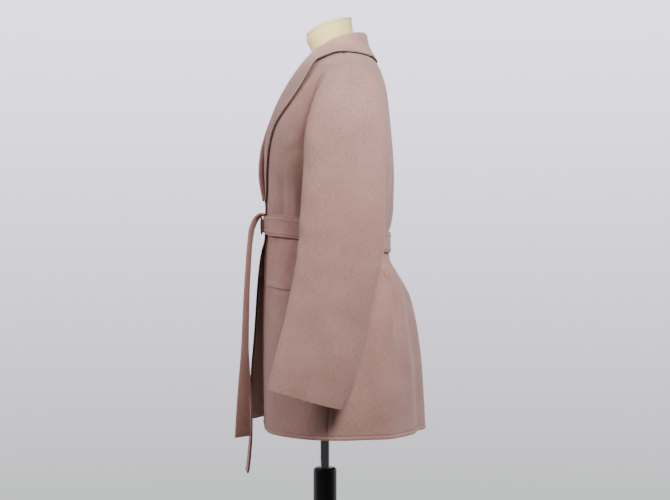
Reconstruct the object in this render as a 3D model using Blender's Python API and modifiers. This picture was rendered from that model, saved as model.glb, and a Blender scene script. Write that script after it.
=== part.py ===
"""Belted wrap jacket in felted double-faced wool, worn by a limbless dress form on a stand.

Metres, +Z up. The wearer's front faces -X and the wearer's left side faces -Y.
A place on the cloth is (angle, height): the angle goes round the body in degrees, from 0 at
the centre back through 90 at the wearer's left side to 180 at the centre front, and below 0
on the wearer's right side. Cloth walls lie half to each side of the surfaces made here.
"""

import math

import bmesh
import bpy
import numpy as np

CLOTH = 0.0024
SEAM_GAP = 0.0010
SLEEVE_GAP = 0.0007
PANEL_LIFT = CLOTH / 2

BODY_CENTRE_X = 0.03
UNDERARM = 1.286
SHOULDER_TIP = 1.448
NECKLINE = 1.4955
LEFT_BREAK = 1.181
RIGHT_BREAK = 1.180

BELT_HEIGHT = 1.1335
BELT_WIDTH = 0.043
BELT_WIDTH_AT_KNOT = 0.030
BELT_THICK = 0.0034
BELT_GAP = 0.0012
BELT_SLOPE = 0.155
BELT_SLOPE_REACH = 0.09

LAP_LIFT = CLOTH + 0.0014
LAP_START, LAP_FULL = 150.0, 166.0
COLLAR_SIDE_ANGLE = 98.6
COLLAR_BACK_GAP = 0.3
ROLL_GAP = 0.8

POLE_RADIUS = 0.011
POLE_SLEEVE_RADIUS = 0.0233
POLE_SLEEVE_TOP = 0.666
POLE_SLEEVE_ROUND = 0.006
BASE_RADIUS = 0.19
BASE_THICK = 0.022
BASE_ROUND = 0.004
PART_GAP = 0.0003
FORM_BOTTOM, FORM_TOP = 0.865, 1.484


def table(columns, rows):
    return np.array(rows, dtype=[(name, float) for name in columns.split()])


# Horizontal slices of the worn jacket and of the neck above it: how far the cloth reaches
# to the front and back of the world's origin, and to each side.
SLICES = table(
    "height front back half_width squareness",
    [
        (0.740, -0.1180, 0.1930, 0.249, 2.30),
        (0.800, -0.1190, 0.1900, 0.240, 2.30),
        (0.870, -0.1200, 0.1860, 0.226, 2.30),
        (0.940, -0.1200, 0.1780, 0.209, 2.30),
        (1.000, -0.1190, 0.1660, 0.191, 2.30),
        (1.040, -0.1180, 0.1540, 0.176, 2.25),
        (1.070, -0.1170, 0.1410, 0.162, 2.20),
        (1.095, -0.1150, 0.1280, 0.147, 2.15),
        (1.115, -0.1135, 0.1245, 0.138, 2.10),
        (1.1335, -0.1130, 0.1235, 0.135, 2.10),
        (1.152, -0.1130, 0.1245, 0.137, 2.10),
        (1.175, -0.1125, 0.1300, 0.143, 2.15),
        (1.210, -0.1120, 0.1345, 0.153, 2.25),
        (1.250, -0.1130, 0.1355, 0.165, 2.35),
        (1.290, -0.1125, 0.1335, 0.175, 2.40),
        (1.330, -0.1080, 0.1300, 0.183, 2.40),
        (1.370, -0.0950, 0.1260, 0.189, 2.35),
        (1.405, -0.0780, 0.1220, 0.192, 2.25),
        (1.430, -0.0630, 0.1170, 0.193, 2.15),
        (1.448, -0.0510, 0.1110, 0.190, 2.10),
        (1.458, -0.0440, 0.1070, 0.165, 2.10),
        (1.468, -0.0375, 0.1020, 0.138, 2.05),
        (1.478, -0.0320, 0.0965, 0.112, 2.00),
        (1.488, -0.0270, 0.0905, 0.088, 2.00),
        (1.496, -0.0235, 0.0860, 0.074, 2.00),
        (1.510, -0.0200, 0.0800, 0.069, 2.00),
        (1.540, -0.0170, 0.0740, 0.066, 2.00),
    ],
)

# Folds that the belt gathers: out is how far the crest stands out, and a trough is below 0.
FOLDS = table(
    "angle width top bottom out",
    [
        (62.0, 4.5, 1.105, 0.960, 0.0050),
        (54.5, 3.6, 1.108, 0.930, -0.0095),
        (45.0, 6.0, 1.100, 0.800, 0.0040),
        (69.0, 7.0, 1.020, 0.700, 0.0060),
        (78.5, 6.0, 1.020, 0.700, -0.0050),
        (37.0, 7.0, 1.000, 0.700, -0.0050),
        (20.0, 8.0, 1.060, 0.700, 0.0055),
        (6.0, 7.0, 1.090, 0.700, -0.0060),
        (-12.0, 8.0, 1.070, 0.700, 0.0050),
        (-29.0, 6.0, 1.100, 0.700, -0.0070),
        (-43.0, 6.5, 1.090, 0.720, 0.0055),
        (-57.0, 4.0, 1.108, 0.900, -0.0085),
        (-68.0, 6.0, 1.060, 0.700, 0.0055),
        (-84.0, 7.0, 1.000, 0.700, -0.0045),
        (-112.0, 9.0, 1.060, 0.700, 0.0050),
        (-136.0, 9.0, 1.080, 0.700, -0.0045),
        (112.0, 8.0, 1.050, 0.700, -0.0030),
        (132.0, 9.0, 1.080, 0.700, 0.0025),
    ],
)

# The armhole of each side, from the underarm up to the shoulder tip.
ARMHOLE = table(
    "height front rear",
    [
        (UNDERARM, 88.5, 88.5),
        (1.289, 101.0, 79.0),
        (1.297, 107.5, 72.5),
        (1.312, 110.0, 68.0),
        (1.335, 110.0, 64.5),
        (1.358, 108.0, 63.5),
        (1.388, 104.0, 66.0),
        (1.412, 99.0, 71.0),
        (1.430, 94.5, 76.0),
        (1.441, 91.0, 81.0),
        (SHOULDER_TIP, 86.5, 86.5),
    ],
)
ARMHOLE_MIDDLE = (87.0, 1.365)
SIDE_SEAM = table("height angle", [(0.74, 95.8), (UNDERARM, 88.5), (1.30, 88.5)])
SHOULDER_SEAM = table("height angle", [(1.44, 86.5), (SHOULDER_TIP, 86.5), (1.50, 88.0)])

# Each front's inner edge, from the hem up: how far it is past the centre front on its own side.
LEFT_EDGE = table(
    "height short",
    [
        (0.740, 0.032),
        (0.800, 0.028),
        (0.950, 0.018),
        (1.050, 0.010),
        (1.120, 0.005),
        (LEFT_BREAK, 0.006),
    ],
)
RIGHT_EDGE = table(
    "height short",
    [
        (0.740, 0.052),
        (0.850, 0.036),
        (0.950, 0.020),
        (1.040, 0.000),
        (1.080, -0.008),
        (1.120, -0.016),
        (1.160, -0.016),
        (RIGHT_BREAK, -0.012),
    ],
)
# How far the right front stands forward of the slices: out is reached at the angle full, and
# fades to nothing at the angle start.
RIGHT_FLARE = table(
    "height out start full",
    [
        (0.740, 0.034, 105, 150),
        (0.800, 0.030, 105, 150),
        (0.870, 0.0235, 105, 150),
        (0.940, 0.0165, 105, 150),
        (1.040, 0.0095, 110, 155),
        (1.085, 0.004, 120, 165),
        (1.104, 0.000, 130, 168),
        (1.168, 0.000, 140, 170),
        (1.188, 0.004, 140, 170),
        (1.210, 0.006, 140, 170),
        (1.250, 0.0065, 135, 168),
        (1.290, 0.005, 130, 165),
        (1.340, 0.001, 130, 165),
        (1.400, 0.000, 130, 165),
    ],
)

# Sections of the shawl collar, from the centre back to the break of its lapel: the seam it is
# sewn to, the top of the roll and the outer edge, and how far the fall stands off there.
COLLAR_COLUMNS = (
    "seam_angle seam_height roll_angle roll_height edge_angle edge_height fall_lift edge_lift"
)
COLLAR_NECK = [
    (0.0, 1.4965, 0.0, 1.530, 0.0, 1.4740, 0.0070, 0.0052),
    (30.0, 1.4965, 30.0, 1.529, 31.0, 1.4745, 0.0070, 0.0052),
    (58.0, 1.4965, 58.0, 1.526, 61.0, 1.4755, 0.0070, 0.0056),
    (82.0, 1.4965, 83.0, 1.519, 87.0, 1.4755, 0.0075, 0.0060),
    (98.0, 1.4965, 101.0, 1.510, 97.0, 1.4680, 0.0080, 0.0070),
    (108.0, 1.4925, 113.0, 1.499, 103.0, 1.4535, 0.0088, 0.0095),
    (121.0, 1.4780, 126.0, 1.483, 108.0, 1.4320, 0.0088, 0.0090),
    (133.0, 1.4600, 137.0, 1.465, 114.0, 1.4090, 0.0082, 0.0068),
    (142.0, 1.4420, 145.5, 1.447, 121.0, 1.3860, 0.0080, 0.0062),
    (151.0, 1.4180, 154.0, 1.422, 129.5, 1.3640, 0.0080, 0.0062),
    (160.0, 1.3880, 162.5, 1.391, 137.8, 1.3440, 0.0078, 0.0060),
]
LEFT_COLLAR = table(
    COLLAR_COLUMNS,
    COLLAR_NECK
    + [
        (166.0, 1.3580, 168.0, 1.360, 144.5, 1.3230, 0.0076, 0.0058),
        (170.5, 1.3300, 172.0, 1.331, 149.5, 1.2990, 0.0074, 0.0058),
        (173.0, 1.2980, 174.6, 1.299, 154.8, 1.2710, 0.0072, 0.0058),
        (174.8, 1.2640, 176.2, 1.265, 159.8, 1.2430, 0.0070, 0.0056),
        (175.8, 1.2310, 177.0, 1.232, 164.8, 1.2170, 0.0068, 0.0054),
        (176.2, 1.2030, 177.2, 1.204, 169.5, 1.1970, 0.0064, 0.0052),
        (176.4, 1.1865, 177.2, 1.187, 174.0, 1.1850, 0.0060, 0.0050),
    ],
)
RIGHT_COLLAR = table(
    COLLAR_COLUMNS,
    COLLAR_NECK
    + [
        (166.0, 1.3580, 168.0, 1.360, 144.5, 1.3220, 0.0078, 0.0058),
        (169.5, 1.3300, 171.5, 1.331, 149.5, 1.2960, 0.0082, 0.0058),
        (173.0, 1.2980, 175.0, 1.299, 155.0, 1.2660, 0.0092, 0.0058),
        (176.5, 1.2640, 178.5, 1.265, 161.0, 1.2370, 0.0104, 0.0056),
        (180.0, 1.2310, 181.8, 1.232, 168.0, 1.2120, 0.0104, 0.0054),
        (182.6, 1.2030, 184.0, 1.204, 175.5, 1.1940, 0.0088, 0.0050),
        (184.4, 1.1860, 185.2, 1.187, 182.0, 1.1840, 0.0062, 0.0048),
    ],
)

# Rings of a sleeve below its armhole: where the ring is nearest the body (in) and farthest
# (out), its foremost and rearmost x, and how much lower its rear is than its front, per metre.
SLEEVE_RINGS = table(
    "in_side in_height out_side out_height front_x rear_x drop",
    [
        (0.1850, 1.279, 0.2150, 1.4450, -0.022, 0.108, 0.00),
        (0.1885, 1.271, 0.2350, 1.4270, -0.029, 0.112, 0.00),
        (0.1915, 1.262, 0.2500, 1.3880, -0.034, 0.113, 0.00),
        (0.1940, 1.250, 0.2590, 1.3360, -0.036, 0.113, 0.00),
        (0.1960, 1.233, 0.2635, 1.2750, -0.037, 0.112, 0.00),
        (0.1980, 1.200, 0.2665, 1.2150, -0.040, 0.112, 0.00),
        (0.2005, 1.150, 0.2690, 1.1550, -0.043, 0.111, 0.02),
        (0.2040, 1.100, 0.2720, 1.1000, -0.046, 0.107, 0.08),
        (0.2090, 1.050, 0.2760, 1.0500, -0.053, 0.096, 0.16),
        (0.2150, 1.000, 0.2810, 1.0000, -0.062, 0.084, 0.22),
        (0.2240, 0.950, 0.2880, 0.9500, -0.072, 0.070, 0.26),
        (0.2350, 0.890, 0.2970, 0.8900, -0.087, 0.053, 0.28),
        (0.2440, 0.831, 0.3040, 0.8310, -0.101, 0.032, 0.28),
    ],
)
SLEEVE_SIDES = 22

WELT_HEIGHT = 0.010
WELT_GAP = 0.0008
WELT = table("angle height", [(150.0, 1.0315), (125.0, 1.0265), (101.0, 1.0220)])

# The ties' hanging ends, from the knot down: the middle of the band, its width and the angle
# by which its face is turned from facing the front.
TIE_COLUMNS = "x y z turn width"
NEAR_TIE = table(
    TIE_COLUMNS,
    [
        (-0.1205, -0.0240, 1.1706, 4.0, 0.024),
        (-0.1278, -0.0262, 1.1699, 10.0, 0.026),
        (-0.1355, -0.0285, 1.1622, 15.0, 0.028),
        (-0.1408, -0.0310, 1.1508, 14.0, 0.031),
        (-0.1450, -0.0335, 1.1370, 11.0, 0.034),
        (-0.1477, -0.0375, 1.1150, 7.5, 0.037),
        (-0.1500, -0.0430, 1.0850, 6.0, 0.040),
        (-0.1540, -0.0460, 1.0000, 9.0, 0.042),
        (-0.1570, -0.0480, 0.9000, 14.0, 0.042),
        (-0.1595, -0.0490, 0.8200, 26.0, 0.042),
        (-0.1610, -0.0490, 0.7330, 40.0, 0.042),
    ],
)
FAR_TIE = table(
    TIE_COLUMNS,
    [
        (-0.1199, 0.0040, 1.1700, 0.0, 0.024),
        (-0.1264, 0.0045, 1.1699, 0.0, 0.026),
        (-0.1337, 0.0055, 1.1630, 0.0, 0.028),
        (-0.1400, 0.0060, 1.1526, 0.0, 0.031),
        (-0.1447, 0.0068, 1.1385, 0.0, 0.034),
        (-0.1482, 0.0075, 1.1150, -1.0, 0.037),
        (-0.1505, 0.0085, 1.0850, -2.0, 0.040),
        (-0.1545, 0.0085, 1.0000, -3.0, 0.042),
        (-0.1560, 0.0085, 0.9200, -4.0, 0.042),
        (-0.1535, 0.0080, 0.8600, -5.0, 0.042),
        (-0.1490, 0.0070, 0.7900, -6.0, 0.042),
        (-0.1485, 0.0065, 0.7350, -7.0, 0.042),
        (-0.1515, 0.0060, 0.6900, -8.0, 0.042),
        (-0.1555, 0.0060, 0.6560, -8.0, 0.042),
    ],
)
# The knot that the two ends leave, in upright sections across the front.
KNOT = table(
    "y x z depth height",
    [
        (-0.0350, -0.1220, 1.1480, 0.0024, 0.020),
        (-0.0310, -0.1234, 1.1480, 0.0036, 0.029),
        (-0.0220, -0.1252, 1.1480, 0.0044, 0.034),
        (-0.0100, -0.1266, 1.1480, 0.0048, 0.035),
        (0.0020, -0.1266, 1.1480, 0.0044, 0.033),
        (0.0080, -0.1260, 1.1480, 0.0034, 0.026),
        (0.0110, -0.1255, 1.1480, 0.0026, 0.018),
    ],
)

# The dress form below the neck, by how far it lies inside the cloth.
FORM_INSET = table(
    "height inset",
    [
        (0.860, 0.075),
        (0.880, 0.052),
        (0.930, 0.045),
        (1.000, 0.030),
        (1.060, 0.016),
        (1.133, 0.009),
        (1.200, 0.013),
        (1.300, 0.014),
        (1.400, 0.014),
        (1.436, 0.016),
        (1.456, 0.008),
        (1.468, 0.0008),
        (1.486, 0.0008),
        (1.500, 0.0013),
    ],
)
# Its neck, which leans with the body: the middle and half depth of each ring, and its slope.
NECK = table(
    "height middle half_depth half_width slope",
    [
        (1.497, 0.0260, 0.0530, 0.0600, 0.00),
        (1.510, 0.0170, 0.0485, 0.0520, 0.03),
        (1.522, 0.0105, 0.0465, 0.0490, 0.06),
        (1.535, 0.0080, 0.0455, 0.0475, 0.10),
    ],
)
# The cap over the neck: how far each ring is above the last one of the neck and behind it, how
# wide it is by that one, and its slope.
CAP = table(
    "rise back scale slope",
    [
        (0.0003, 0.0000, 1.00, 0.10),
        (0.0040, 0.0000, 1.00, 0.10),
        (0.0115, 0.0015, 0.90, 0.11),
        (0.0205, 0.0060, 0.68, 0.17),
        (0.0265, 0.0140, 0.36, 0.22),
    ],
)


def curve(rows, key, name, at):
    """The table's column at these keys, as cubics through its rows that don't overshoot."""
    keys, values = rows[key], rows[name]
    rise = np.diff(values) / np.diff(keys)
    same_way = rise[:-1] * rise[1:] > 0
    total = np.where(same_way, rise[:-1] + rise[1:], 1.0)
    inner = np.where(same_way, 2 * rise[:-1] * rise[1:] / total, 0.0)
    slopes = np.concatenate([rise[:1], inner, rise[-1:]])
    at = np.clip(at, keys[0], keys[-1])
    i = np.clip(np.searchsorted(keys, at) - 1, 0, len(keys) - 2)
    step = keys[i + 1] - keys[i]
    t = (at - keys[i]) / step
    return (
        values[i] * (2 * t**3 - 3 * t**2 + 1)
        + values[i + 1] * (3 * t**2 - 2 * t**3)
        + slopes[i] * step * (t**3 - 2 * t**2 + t)
        + slopes[i + 1] * step * (t**3 - t**2)
    )


def ramp(at, start, full):
    t = np.clip((at - start) / (full - start), 0.0, 1.0)
    return t * t * (3 - 2 * t)


def fold_height(angle, height):
    out = np.zeros(np.broadcast(angle, height).shape)
    for fold in FOLDS:
        away = (angle - fold["angle"] + 180) % 360 - 180
        along = ramp(height, fold["top"], fold["top"] - 0.05)
        along = along * ramp(height, fold["bottom"] - 0.05, fold["bottom"] + 0.05)
        out = out + fold["out"] * along * np.exp(-((away / fold["width"]) ** 2))
    return out


def slice_point(angle, height, folded=1.0):
    """The point of the slices at these angles and heights, an array with x, y and z last."""
    angle, height = np.broadcast_arrays(np.asarray(angle, float), np.asarray(height, float))
    front = BODY_CENTRE_X - curve(SLICES, "height", "front", height)
    back = curve(SLICES, "height", "back", height) - BODY_CENTRE_X
    power = curve(SLICES, "height", "squareness", height)
    turn = np.radians(angle)
    depth = np.where(np.cos(turn) > 0, back, front)
    half = curve(SLICES, "height", "half_width", height)
    sums = np.abs(np.cos(turn) / depth) ** power + np.abs(np.sin(turn) / half) ** power
    radius = sums ** (-1 / power) + folded * fold_height(angle, height)
    x = BODY_CENTRE_X + radius * np.cos(turn)
    y = -radius * np.sin(turn)
    near_belt = np.exp(-(((height - BELT_HEIGHT) / BELT_SLOPE_REACH) ** 2))
    return np.stack([x, y, height - BELT_SLOPE * near_belt * x], axis=-1)


def outward(angle, height, folded=1.0):
    """The direction straight out of the slices, as unit vectors."""
    round_step, up_step = 0.6, 0.002
    along = slice_point(angle + round_step, height, folded)
    along = along - slice_point(angle - round_step, height, folded)
    up = slice_point(angle, height + up_step, folded)
    up = up - slice_point(angle, height - up_step, folded)
    across = np.cross(up, along)
    return across / np.linalg.norm(across, axis=-1, keepdims=True)


def place(angle, height, lift, folded=1.0):
    """Points at this lift off the slices."""
    lift = np.broadcast_to(lift, np.broadcast(angle, height).shape)
    return slice_point(angle, height, folded) + outward(angle, height, folded) * lift[..., None]


def angle_past(short, height, side):
    """The angle at which a front's edge stops, short of the centre by this much on its side."""
    angles = np.linspace(95.0, 215.0, 1201)
    reach = np.array([np.interp(s, *sideways(angles, h)) for s, h in zip(short, height)])
    return side * reach


def sideways(angles, height):
    y = -slice_point(angles, height)[:, 1]
    return y[::-1], angles[::-1]


def new_object(name, mesh, material, collection):
    made = bpy.data.objects.new(name, mesh)
    made.data.materials.append(material)
    collection.objects.link(made)
    return made


def shade(made, degrees=35):
    for polygon in made.data.polygons:
        polygon.use_smooth = True
    made.data.set_sharp_from_angle(angle=math.radians(degrees))


def grid_mesh(name, points, around=False):
    """A mesh over a grid of points, rows by columns, joined round its columns if asked."""
    rows, columns = points.shape[:2]
    number = np.arange(rows * columns).reshape(rows, columns)
    if around:
        number = np.concatenate([number, number[:, :1]], axis=1)
    corners = (number[:-1, :-1], number[:-1, 1:], number[1:, 1:], number[1:, :-1])
    faces = np.stack([corner.ravel() for corner in corners], axis=1)
    mesh = bpy.data.meshes.new(name)
    mesh.from_pydata(points.reshape(-1, 3).tolist(), [], faces.tolist())
    mesh.update()
    return mesh


def wall(name, points, material, collection, thick=CLOTH, around=False):
    """A wall of cloth along a grid of points."""
    made = new_object(name, grid_mesh(name, points, around), material, collection)
    solidify = made.modifiers.new("Cloth", "SOLIDIFY")
    solidify.thickness = thick
    solidify.offset = 0.0
    solidify.use_even_offset = False
    solidify.use_quality_normals = True
    shade(made)
    return made


def closed_loft(name, rings, material, collection):
    """A solid through rings of points, closed by a flat face at each end."""
    mesh = grid_mesh(name, rings, around=True)
    made = new_object(name, mesh, material, collection)
    built = bmesh.new()
    built.from_mesh(mesh)
    built.verts.ensure_lookup_table()
    sides = rings.shape[1]
    last = len(built.verts) - sides
    built.faces.new([built.verts[i] for i in range(sides)])
    built.faces.new([built.verts[last + i] for i in range(sides)])
    bmesh.ops.recalc_face_normals(built, faces=built.faces[:])
    built.to_mesh(mesh)
    built.free()
    shade(made)
    return made


def finish(name, colour, roughness, metallic=0.0):
    """A Principled material, from its linear colour."""
    material = bpy.data.materials.new(name)
    material.use_nodes = True
    shader = material.node_tree.nodes["Principled BSDF"]
    shader.inputs["Base Color"].default_value = (*colour, 1.0)
    shader.inputs["Roughness"].default_value = roughness
    shader.inputs["Metallic"].default_value = metallic
    material.diffuse_color = (*colour, 1.0)
    return material


def row_heights(top):
    """Rows of a body panel from the hem up, closer together at the belt and the armhole."""
    skirt = np.linspace(0.752, 1.040, 7)
    waist = np.array([1.065, 1.086, 1.102, 1.118, 1.1335, 1.149, 1.165, 1.188])
    chest = np.array([1.220, 1.256, 1.277])
    armhole = ARMHOLE["height"][:-1]
    shoulder = np.array([SHOULDER_TIP, 1.4575, 1.468, 1.478, 1.487, top])
    return np.concatenate([skirt, waist, chest, armhole, shoulder])


def seam_angle(heights, which):
    """The left side's seam with the other panel or the sleeve, for the front or the rear."""
    side = np.interp(heights, SIDE_SEAM["height"], SIDE_SEAM["angle"])
    hole = np.interp(heights, ARMHOLE["height"], ARMHOLE[which])
    shoulder = np.interp(heights, SHOULDER_SEAM["height"], SHOULDER_SEAM["angle"])
    angle = np.where(heights < UNDERARM, side, np.where(heights < SHOULDER_TIP, hole, shoulder))
    half_gap = np.degrees(SEAM_GAP / 2 / curve(SLICES, "height", "half_width", heights))
    return angle + half_gap * (1 if which == "front" else -1)


def back(material, collection):
    heights = row_heights(NECKLINE)
    rear = seam_angle(heights, "rear")
    across = np.linspace(1.0, -1.0, 25)
    angles = rear[:, None] * across[None, :]
    points = place(angles, heights[:, None], PANEL_LIFT)
    return wall("back", points, material, collection)


def lap(angle, height):
    """How far the right front's middle lies outside the cloth of the left front."""
    over = LAP_LIFT * ramp(angle, LAP_START, LAP_FULL)
    flare, start, full = (
        curve(RIGHT_FLARE, "height", name, height) for name in ("out", "start", "full")
    )
    return over + flare * ramp(angle, start, full)


def roll_seam(collar, heights):
    """The angle of the collar's seam at each height, up the lapel from its break."""
    seam = collar[::-1]
    seam = seam[seam["seam_height"] < NECKLINE]
    angles = np.interp(heights, seam["seam_height"], seam["seam_angle"])
    blend = ramp(heights, seam["seam_height"][-1], NECKLINE)
    return angles + (COLLAR_SIDE_ANGLE - angles) * blend


def front(name, edge, collar, side, break_height, material, collection):
    """One front, from its side seam, armhole and shoulder to its free edge and lapel roll."""
    heights = row_heights(NECKLINE)
    outer = seam_angle(heights, "front")
    inner = angle_past(np.interp(heights, edge["height"], edge["short"]), heights, 1)
    rolled = roll_seam(collar, heights) - ROLL_GAP
    inner = np.where(heights < break_height, inner, rolled)
    across = np.linspace(0.0, 1.0, 14)
    angles = outer[:, None] + (inner - outer)[:, None] * across[None, :]
    rows = heights[:, None]
    lift = PANEL_LIFT + (lap(angles, rows) if side < 0 else 0.0)
    points = place(side * angles, rows, lift)
    return wall(name, points, material, collection)


def collar_half(name, rows, side, material, collection):
    """Half of the shawl collar: its seam, the roll and the fall down to the outer edge."""
    stations = np.linspace(0, len(rows) - 1, (3 * len(rows)) // 2)
    keys = np.arange(len(rows), dtype=float)
    listed = {}
    for column in rows.dtype.names:
        step = np.gradient(rows[column], keys)
        i = np.clip(stations.astype(int), 0, len(rows) - 2)
        t = stations - i
        listed[column] = (
            rows[column][i] * (2 * t**3 - 3 * t**2 + 1)
            + rows[column][i + 1] * (3 * t**2 - 2 * t**3)
            + step[i] * (t**3 - 2 * t**2 + t)
            + step[i + 1] * (t**3 - t**2)
        )
    along = {column: values[:, None] for column, values in listed.items()}
    stand = np.array([0.0, 0.45, 0.9])[None, :]
    fall = np.array([0.06, 0.25, 0.5, 0.75, 1.0])[None, :]

    def between(name_a, name_b, share, part):
        a, b = along[f"{name_a}_{part}"], along[f"{name_b}_{part}"]
        return a + (b - a) * share

    angles = np.concatenate(
        [
            between("seam", "roll", stand, "angle"),
            along["roll_angle"],
            between("roll", "edge", fall, "angle"),
        ],
        axis=1,
    )
    heights = np.concatenate(
        [
            between("seam", "roll", stand, "height"),
            along["roll_height"],
            between("roll", "edge", fall, "height"),
        ],
        axis=1,
    )
    top = along["fall_lift"]
    lift = np.concatenate(
        [
            PANEL_LIFT + 0.0 * stand + 0.0 * top,
            (PANEL_LIFT + top) / 2,
            top + (along["edge_lift"] - top) * fall,
        ],
        axis=1,
    )
    lift = lift + (lap(angles, heights) if side < 0 else 0.0)
    angles[0] = angles[0] + COLLAR_BACK_GAP
    return wall(name, place(side * angles, heights, lift), material, collection)


def armhole_loop(count, shrink, lift, side):
    """Points round the armhole, drawn in by shrink within the body's surface, then lifted."""
    angle = np.concatenate([ARMHOLE["front"], ARMHOLE["rear"][-2:0:-1]])
    height = np.concatenate([ARMHOLE["height"], ARMHOLE["height"][-2:0:-1]])
    angle = np.roll(angle, -(len(ARMHOLE) - 1))
    height = np.roll(height, -(len(ARMHOLE) - 1))
    angle, height = np.append(angle, angle[0]), np.append(height, height[0])
    run = slice_point(angle, height)
    length = np.append(0.0, np.cumsum(np.linalg.norm(np.diff(run, axis=0), axis=1)))
    even = np.linspace(0.0, length[-1], count, endpoint=False)
    angle, height = np.interp(even, length, angle), np.interp(even, length, height)
    middle_angle, middle_height = ARMHOLE_MIDDLE
    middle = slice_point(middle_angle, middle_height)
    reach = np.linalg.norm(slice_point(angle, height) - middle, axis=-1)
    share = 1 - shrink / reach
    angle = middle_angle + (angle - middle_angle) * share
    height = middle_height + (height - middle_height) * share
    return place(side * angle, height, lift)


def sleeve(name, side, material, collection):
    """A sleeve from inside its armhole, over the cap and down to the cuff."""
    count = SLEEVE_SIDES
    inside = CLOTH / 2 + SLEEVE_GAP
    loops = [
        armhole_loop(count, inside, 0.0, side),
        armhole_loop(count, inside, CLOTH + 0.0012, side),
        armhole_loop(count, 0.0004, 0.0066, side),
    ]
    turn = np.linspace(0, 2 * math.pi, count, endpoint=False)
    for ring in SLEEVE_RINGS:
        half_x = (ring["rear_x"] - ring["front_x"]) / 2
        middle_x = (ring["rear_x"] + ring["front_x"]) / 2
        reach = np.abs(np.cos(turn)) ** 0.92 * np.sign(np.cos(turn))
        x = middle_x + half_x * np.sin(turn)
        out = (ring["out_side"] + ring["in_side"]) / 2
        out = out + reach * (ring["out_side"] - ring["in_side"]) / 2
        z = (ring["out_height"] + ring["in_height"]) / 2
        z = z + reach * (ring["out_height"] - ring["in_height"]) / 2
        z = z - ring["drop"] * (x - middle_x)
        loops.append(np.stack([x, -side * out, z], axis=-1))
    return wall(name, np.stack(loops), material, collection, around=True)


def welt(name, side, material, collection):
    """The raised welt at a pocket's mouth, which lies on the front."""
    steps = np.linspace(0.0, 1.0, 13)
    keys = np.linspace(0.0, 1.0, len(WELT))
    angles = np.interp(steps, keys, WELT["angle"])[None, :]
    middle = np.interp(steps, keys, WELT["height"])[None, :]
    heights = middle + WELT_HEIGHT * np.linspace(-0.5, 0.5, 3)[:, None]
    off = PANEL_LIFT + CLOTH + WELT_GAP
    lift = off + (lap(angles, heights) if side < 0 else 0.0)
    return wall(name, place(side * angles, heights, lift), material, collection)


def belt_lift(angle):
    """The middle of the belt's thickness, clear of the fronts where they lap."""
    round_front = np.abs((angle + 180) % 360 - 180)
    over = LAP_LIFT * ramp(round_front, LAP_START - 12, LAP_FULL - 8)
    return CLOTH + BELT_GAP + BELT_THICK / 2 + over


def belt(material, collection):
    angles = np.linspace(0.0, 360.0, 52, endpoint=False)[None, :]
    round_front = np.abs((angles + 180) % 360 - 180)
    width = BELT_WIDTH + (BELT_WIDTH_AT_KNOT - BELT_WIDTH) * ramp(round_front, 150.0, 176.0)
    heights = BELT_HEIGHT + width * np.linspace(-0.5, 0.5, 4)[:, None]
    points = place(angles, heights, belt_lift(angles), folded=0.0)
    return wall("belt", points, material, collection, thick=BELT_THICK, around=True)


def tie(name, rows, material, collection):
    """A hanging end of the belt, along its table."""
    keys = np.linspace(0.0, 1.0, len(rows))
    at = np.linspace(0.0, 1.0, 28)
    step = {column: np.interp(at, keys, rows[column]) for column in rows.dtype.names}
    middle = np.stack([step["x"], step["y"], step["z"]], axis=-1)[:, None, :]
    turn = np.radians(step["turn"])
    face = np.stack([np.sin(turn), np.cos(turn), 0 * turn], axis=-1)[:, None, :]
    across = np.linspace(-0.5, 0.5, 4)[None, :, None] * step["width"][:, None, None]
    points = middle + face * across
    return wall(name, points, material, collection, thick=BELT_THICK)


def knot(material, collection):
    turn = np.linspace(0, 2 * math.pi, 20, endpoint=False)
    rings = []
    for row in KNOT:
        x = row["x"] + row["depth"] / 2 * np.sign(np.cos(turn)) * np.abs(np.cos(turn)) ** 0.8
        z = row["z"] + row["height"] / 2 * np.sign(np.sin(turn)) * np.abs(np.sin(turn)) ** 0.8
        rings.append(np.stack([x, 0 * x + row["y"], z], axis=-1))
    return closed_loft("belt_knot", np.stack(rings), material, collection)


def form_torso(material, collection):
    chest = np.linspace(FORM_BOTTOM, 1.40, 13)
    shoulder = np.array([1.425, 1.445, 1.458, 1.468, 1.477, FORM_TOP])
    heights = np.concatenate([chest, shoulder])
    angles = np.linspace(0.0, 360.0, 32, endpoint=False)[None, :]
    inset = np.interp(heights, FORM_INSET["height"], FORM_INSET["inset"])[:, None]
    body = place(angles, heights[:, None], -inset, folded=0.0)
    neck = [neck_ring(angles[0], *row) for row in NECK]
    body[0, :, 2] = FORM_BOTTOM
    rings = np.concatenate([body, np.stack(neck)])
    return closed_loft("form_torso", rings, material, collection)


def neck_ring(angles, height, middle, half_depth, half_width, slope):
    turn = np.radians(angles)
    x = middle + half_depth * np.cos(turn)
    y = -half_width * np.sin(turn)
    return np.stack([x, y, height + slope * (x - middle)], axis=-1)


def form_cap(material, collection):
    angles = np.linspace(0.0, 360.0, 32, endpoint=False)
    neck = NECK[-1]
    rings = []
    for row in CAP:
        height, middle = neck["height"] + row["rise"], neck["middle"] + row["back"]
        half_depth, half_width = row["scale"] * neck["half_depth"], row["scale"] * neck["half_width"]
        rings.append(neck_ring(angles, height, middle, half_depth, half_width, row["slope"]))
    return closed_loft("form_cap", np.stack(rings), material, collection)


def cylinder(name, radius, bottom, top, sides, material, collection):
    built = bmesh.new()
    depth = top - bottom
    bmesh.ops.create_cone(
        built, cap_ends=True, segments=sides, radius1=radius, radius2=radius, depth=depth
    )
    mesh = bpy.data.meshes.new(name)
    built.to_mesh(mesh)
    built.free()
    made = new_object(name, mesh, material, collection)
    made.location.z = (top + bottom) / 2
    return made


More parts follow.
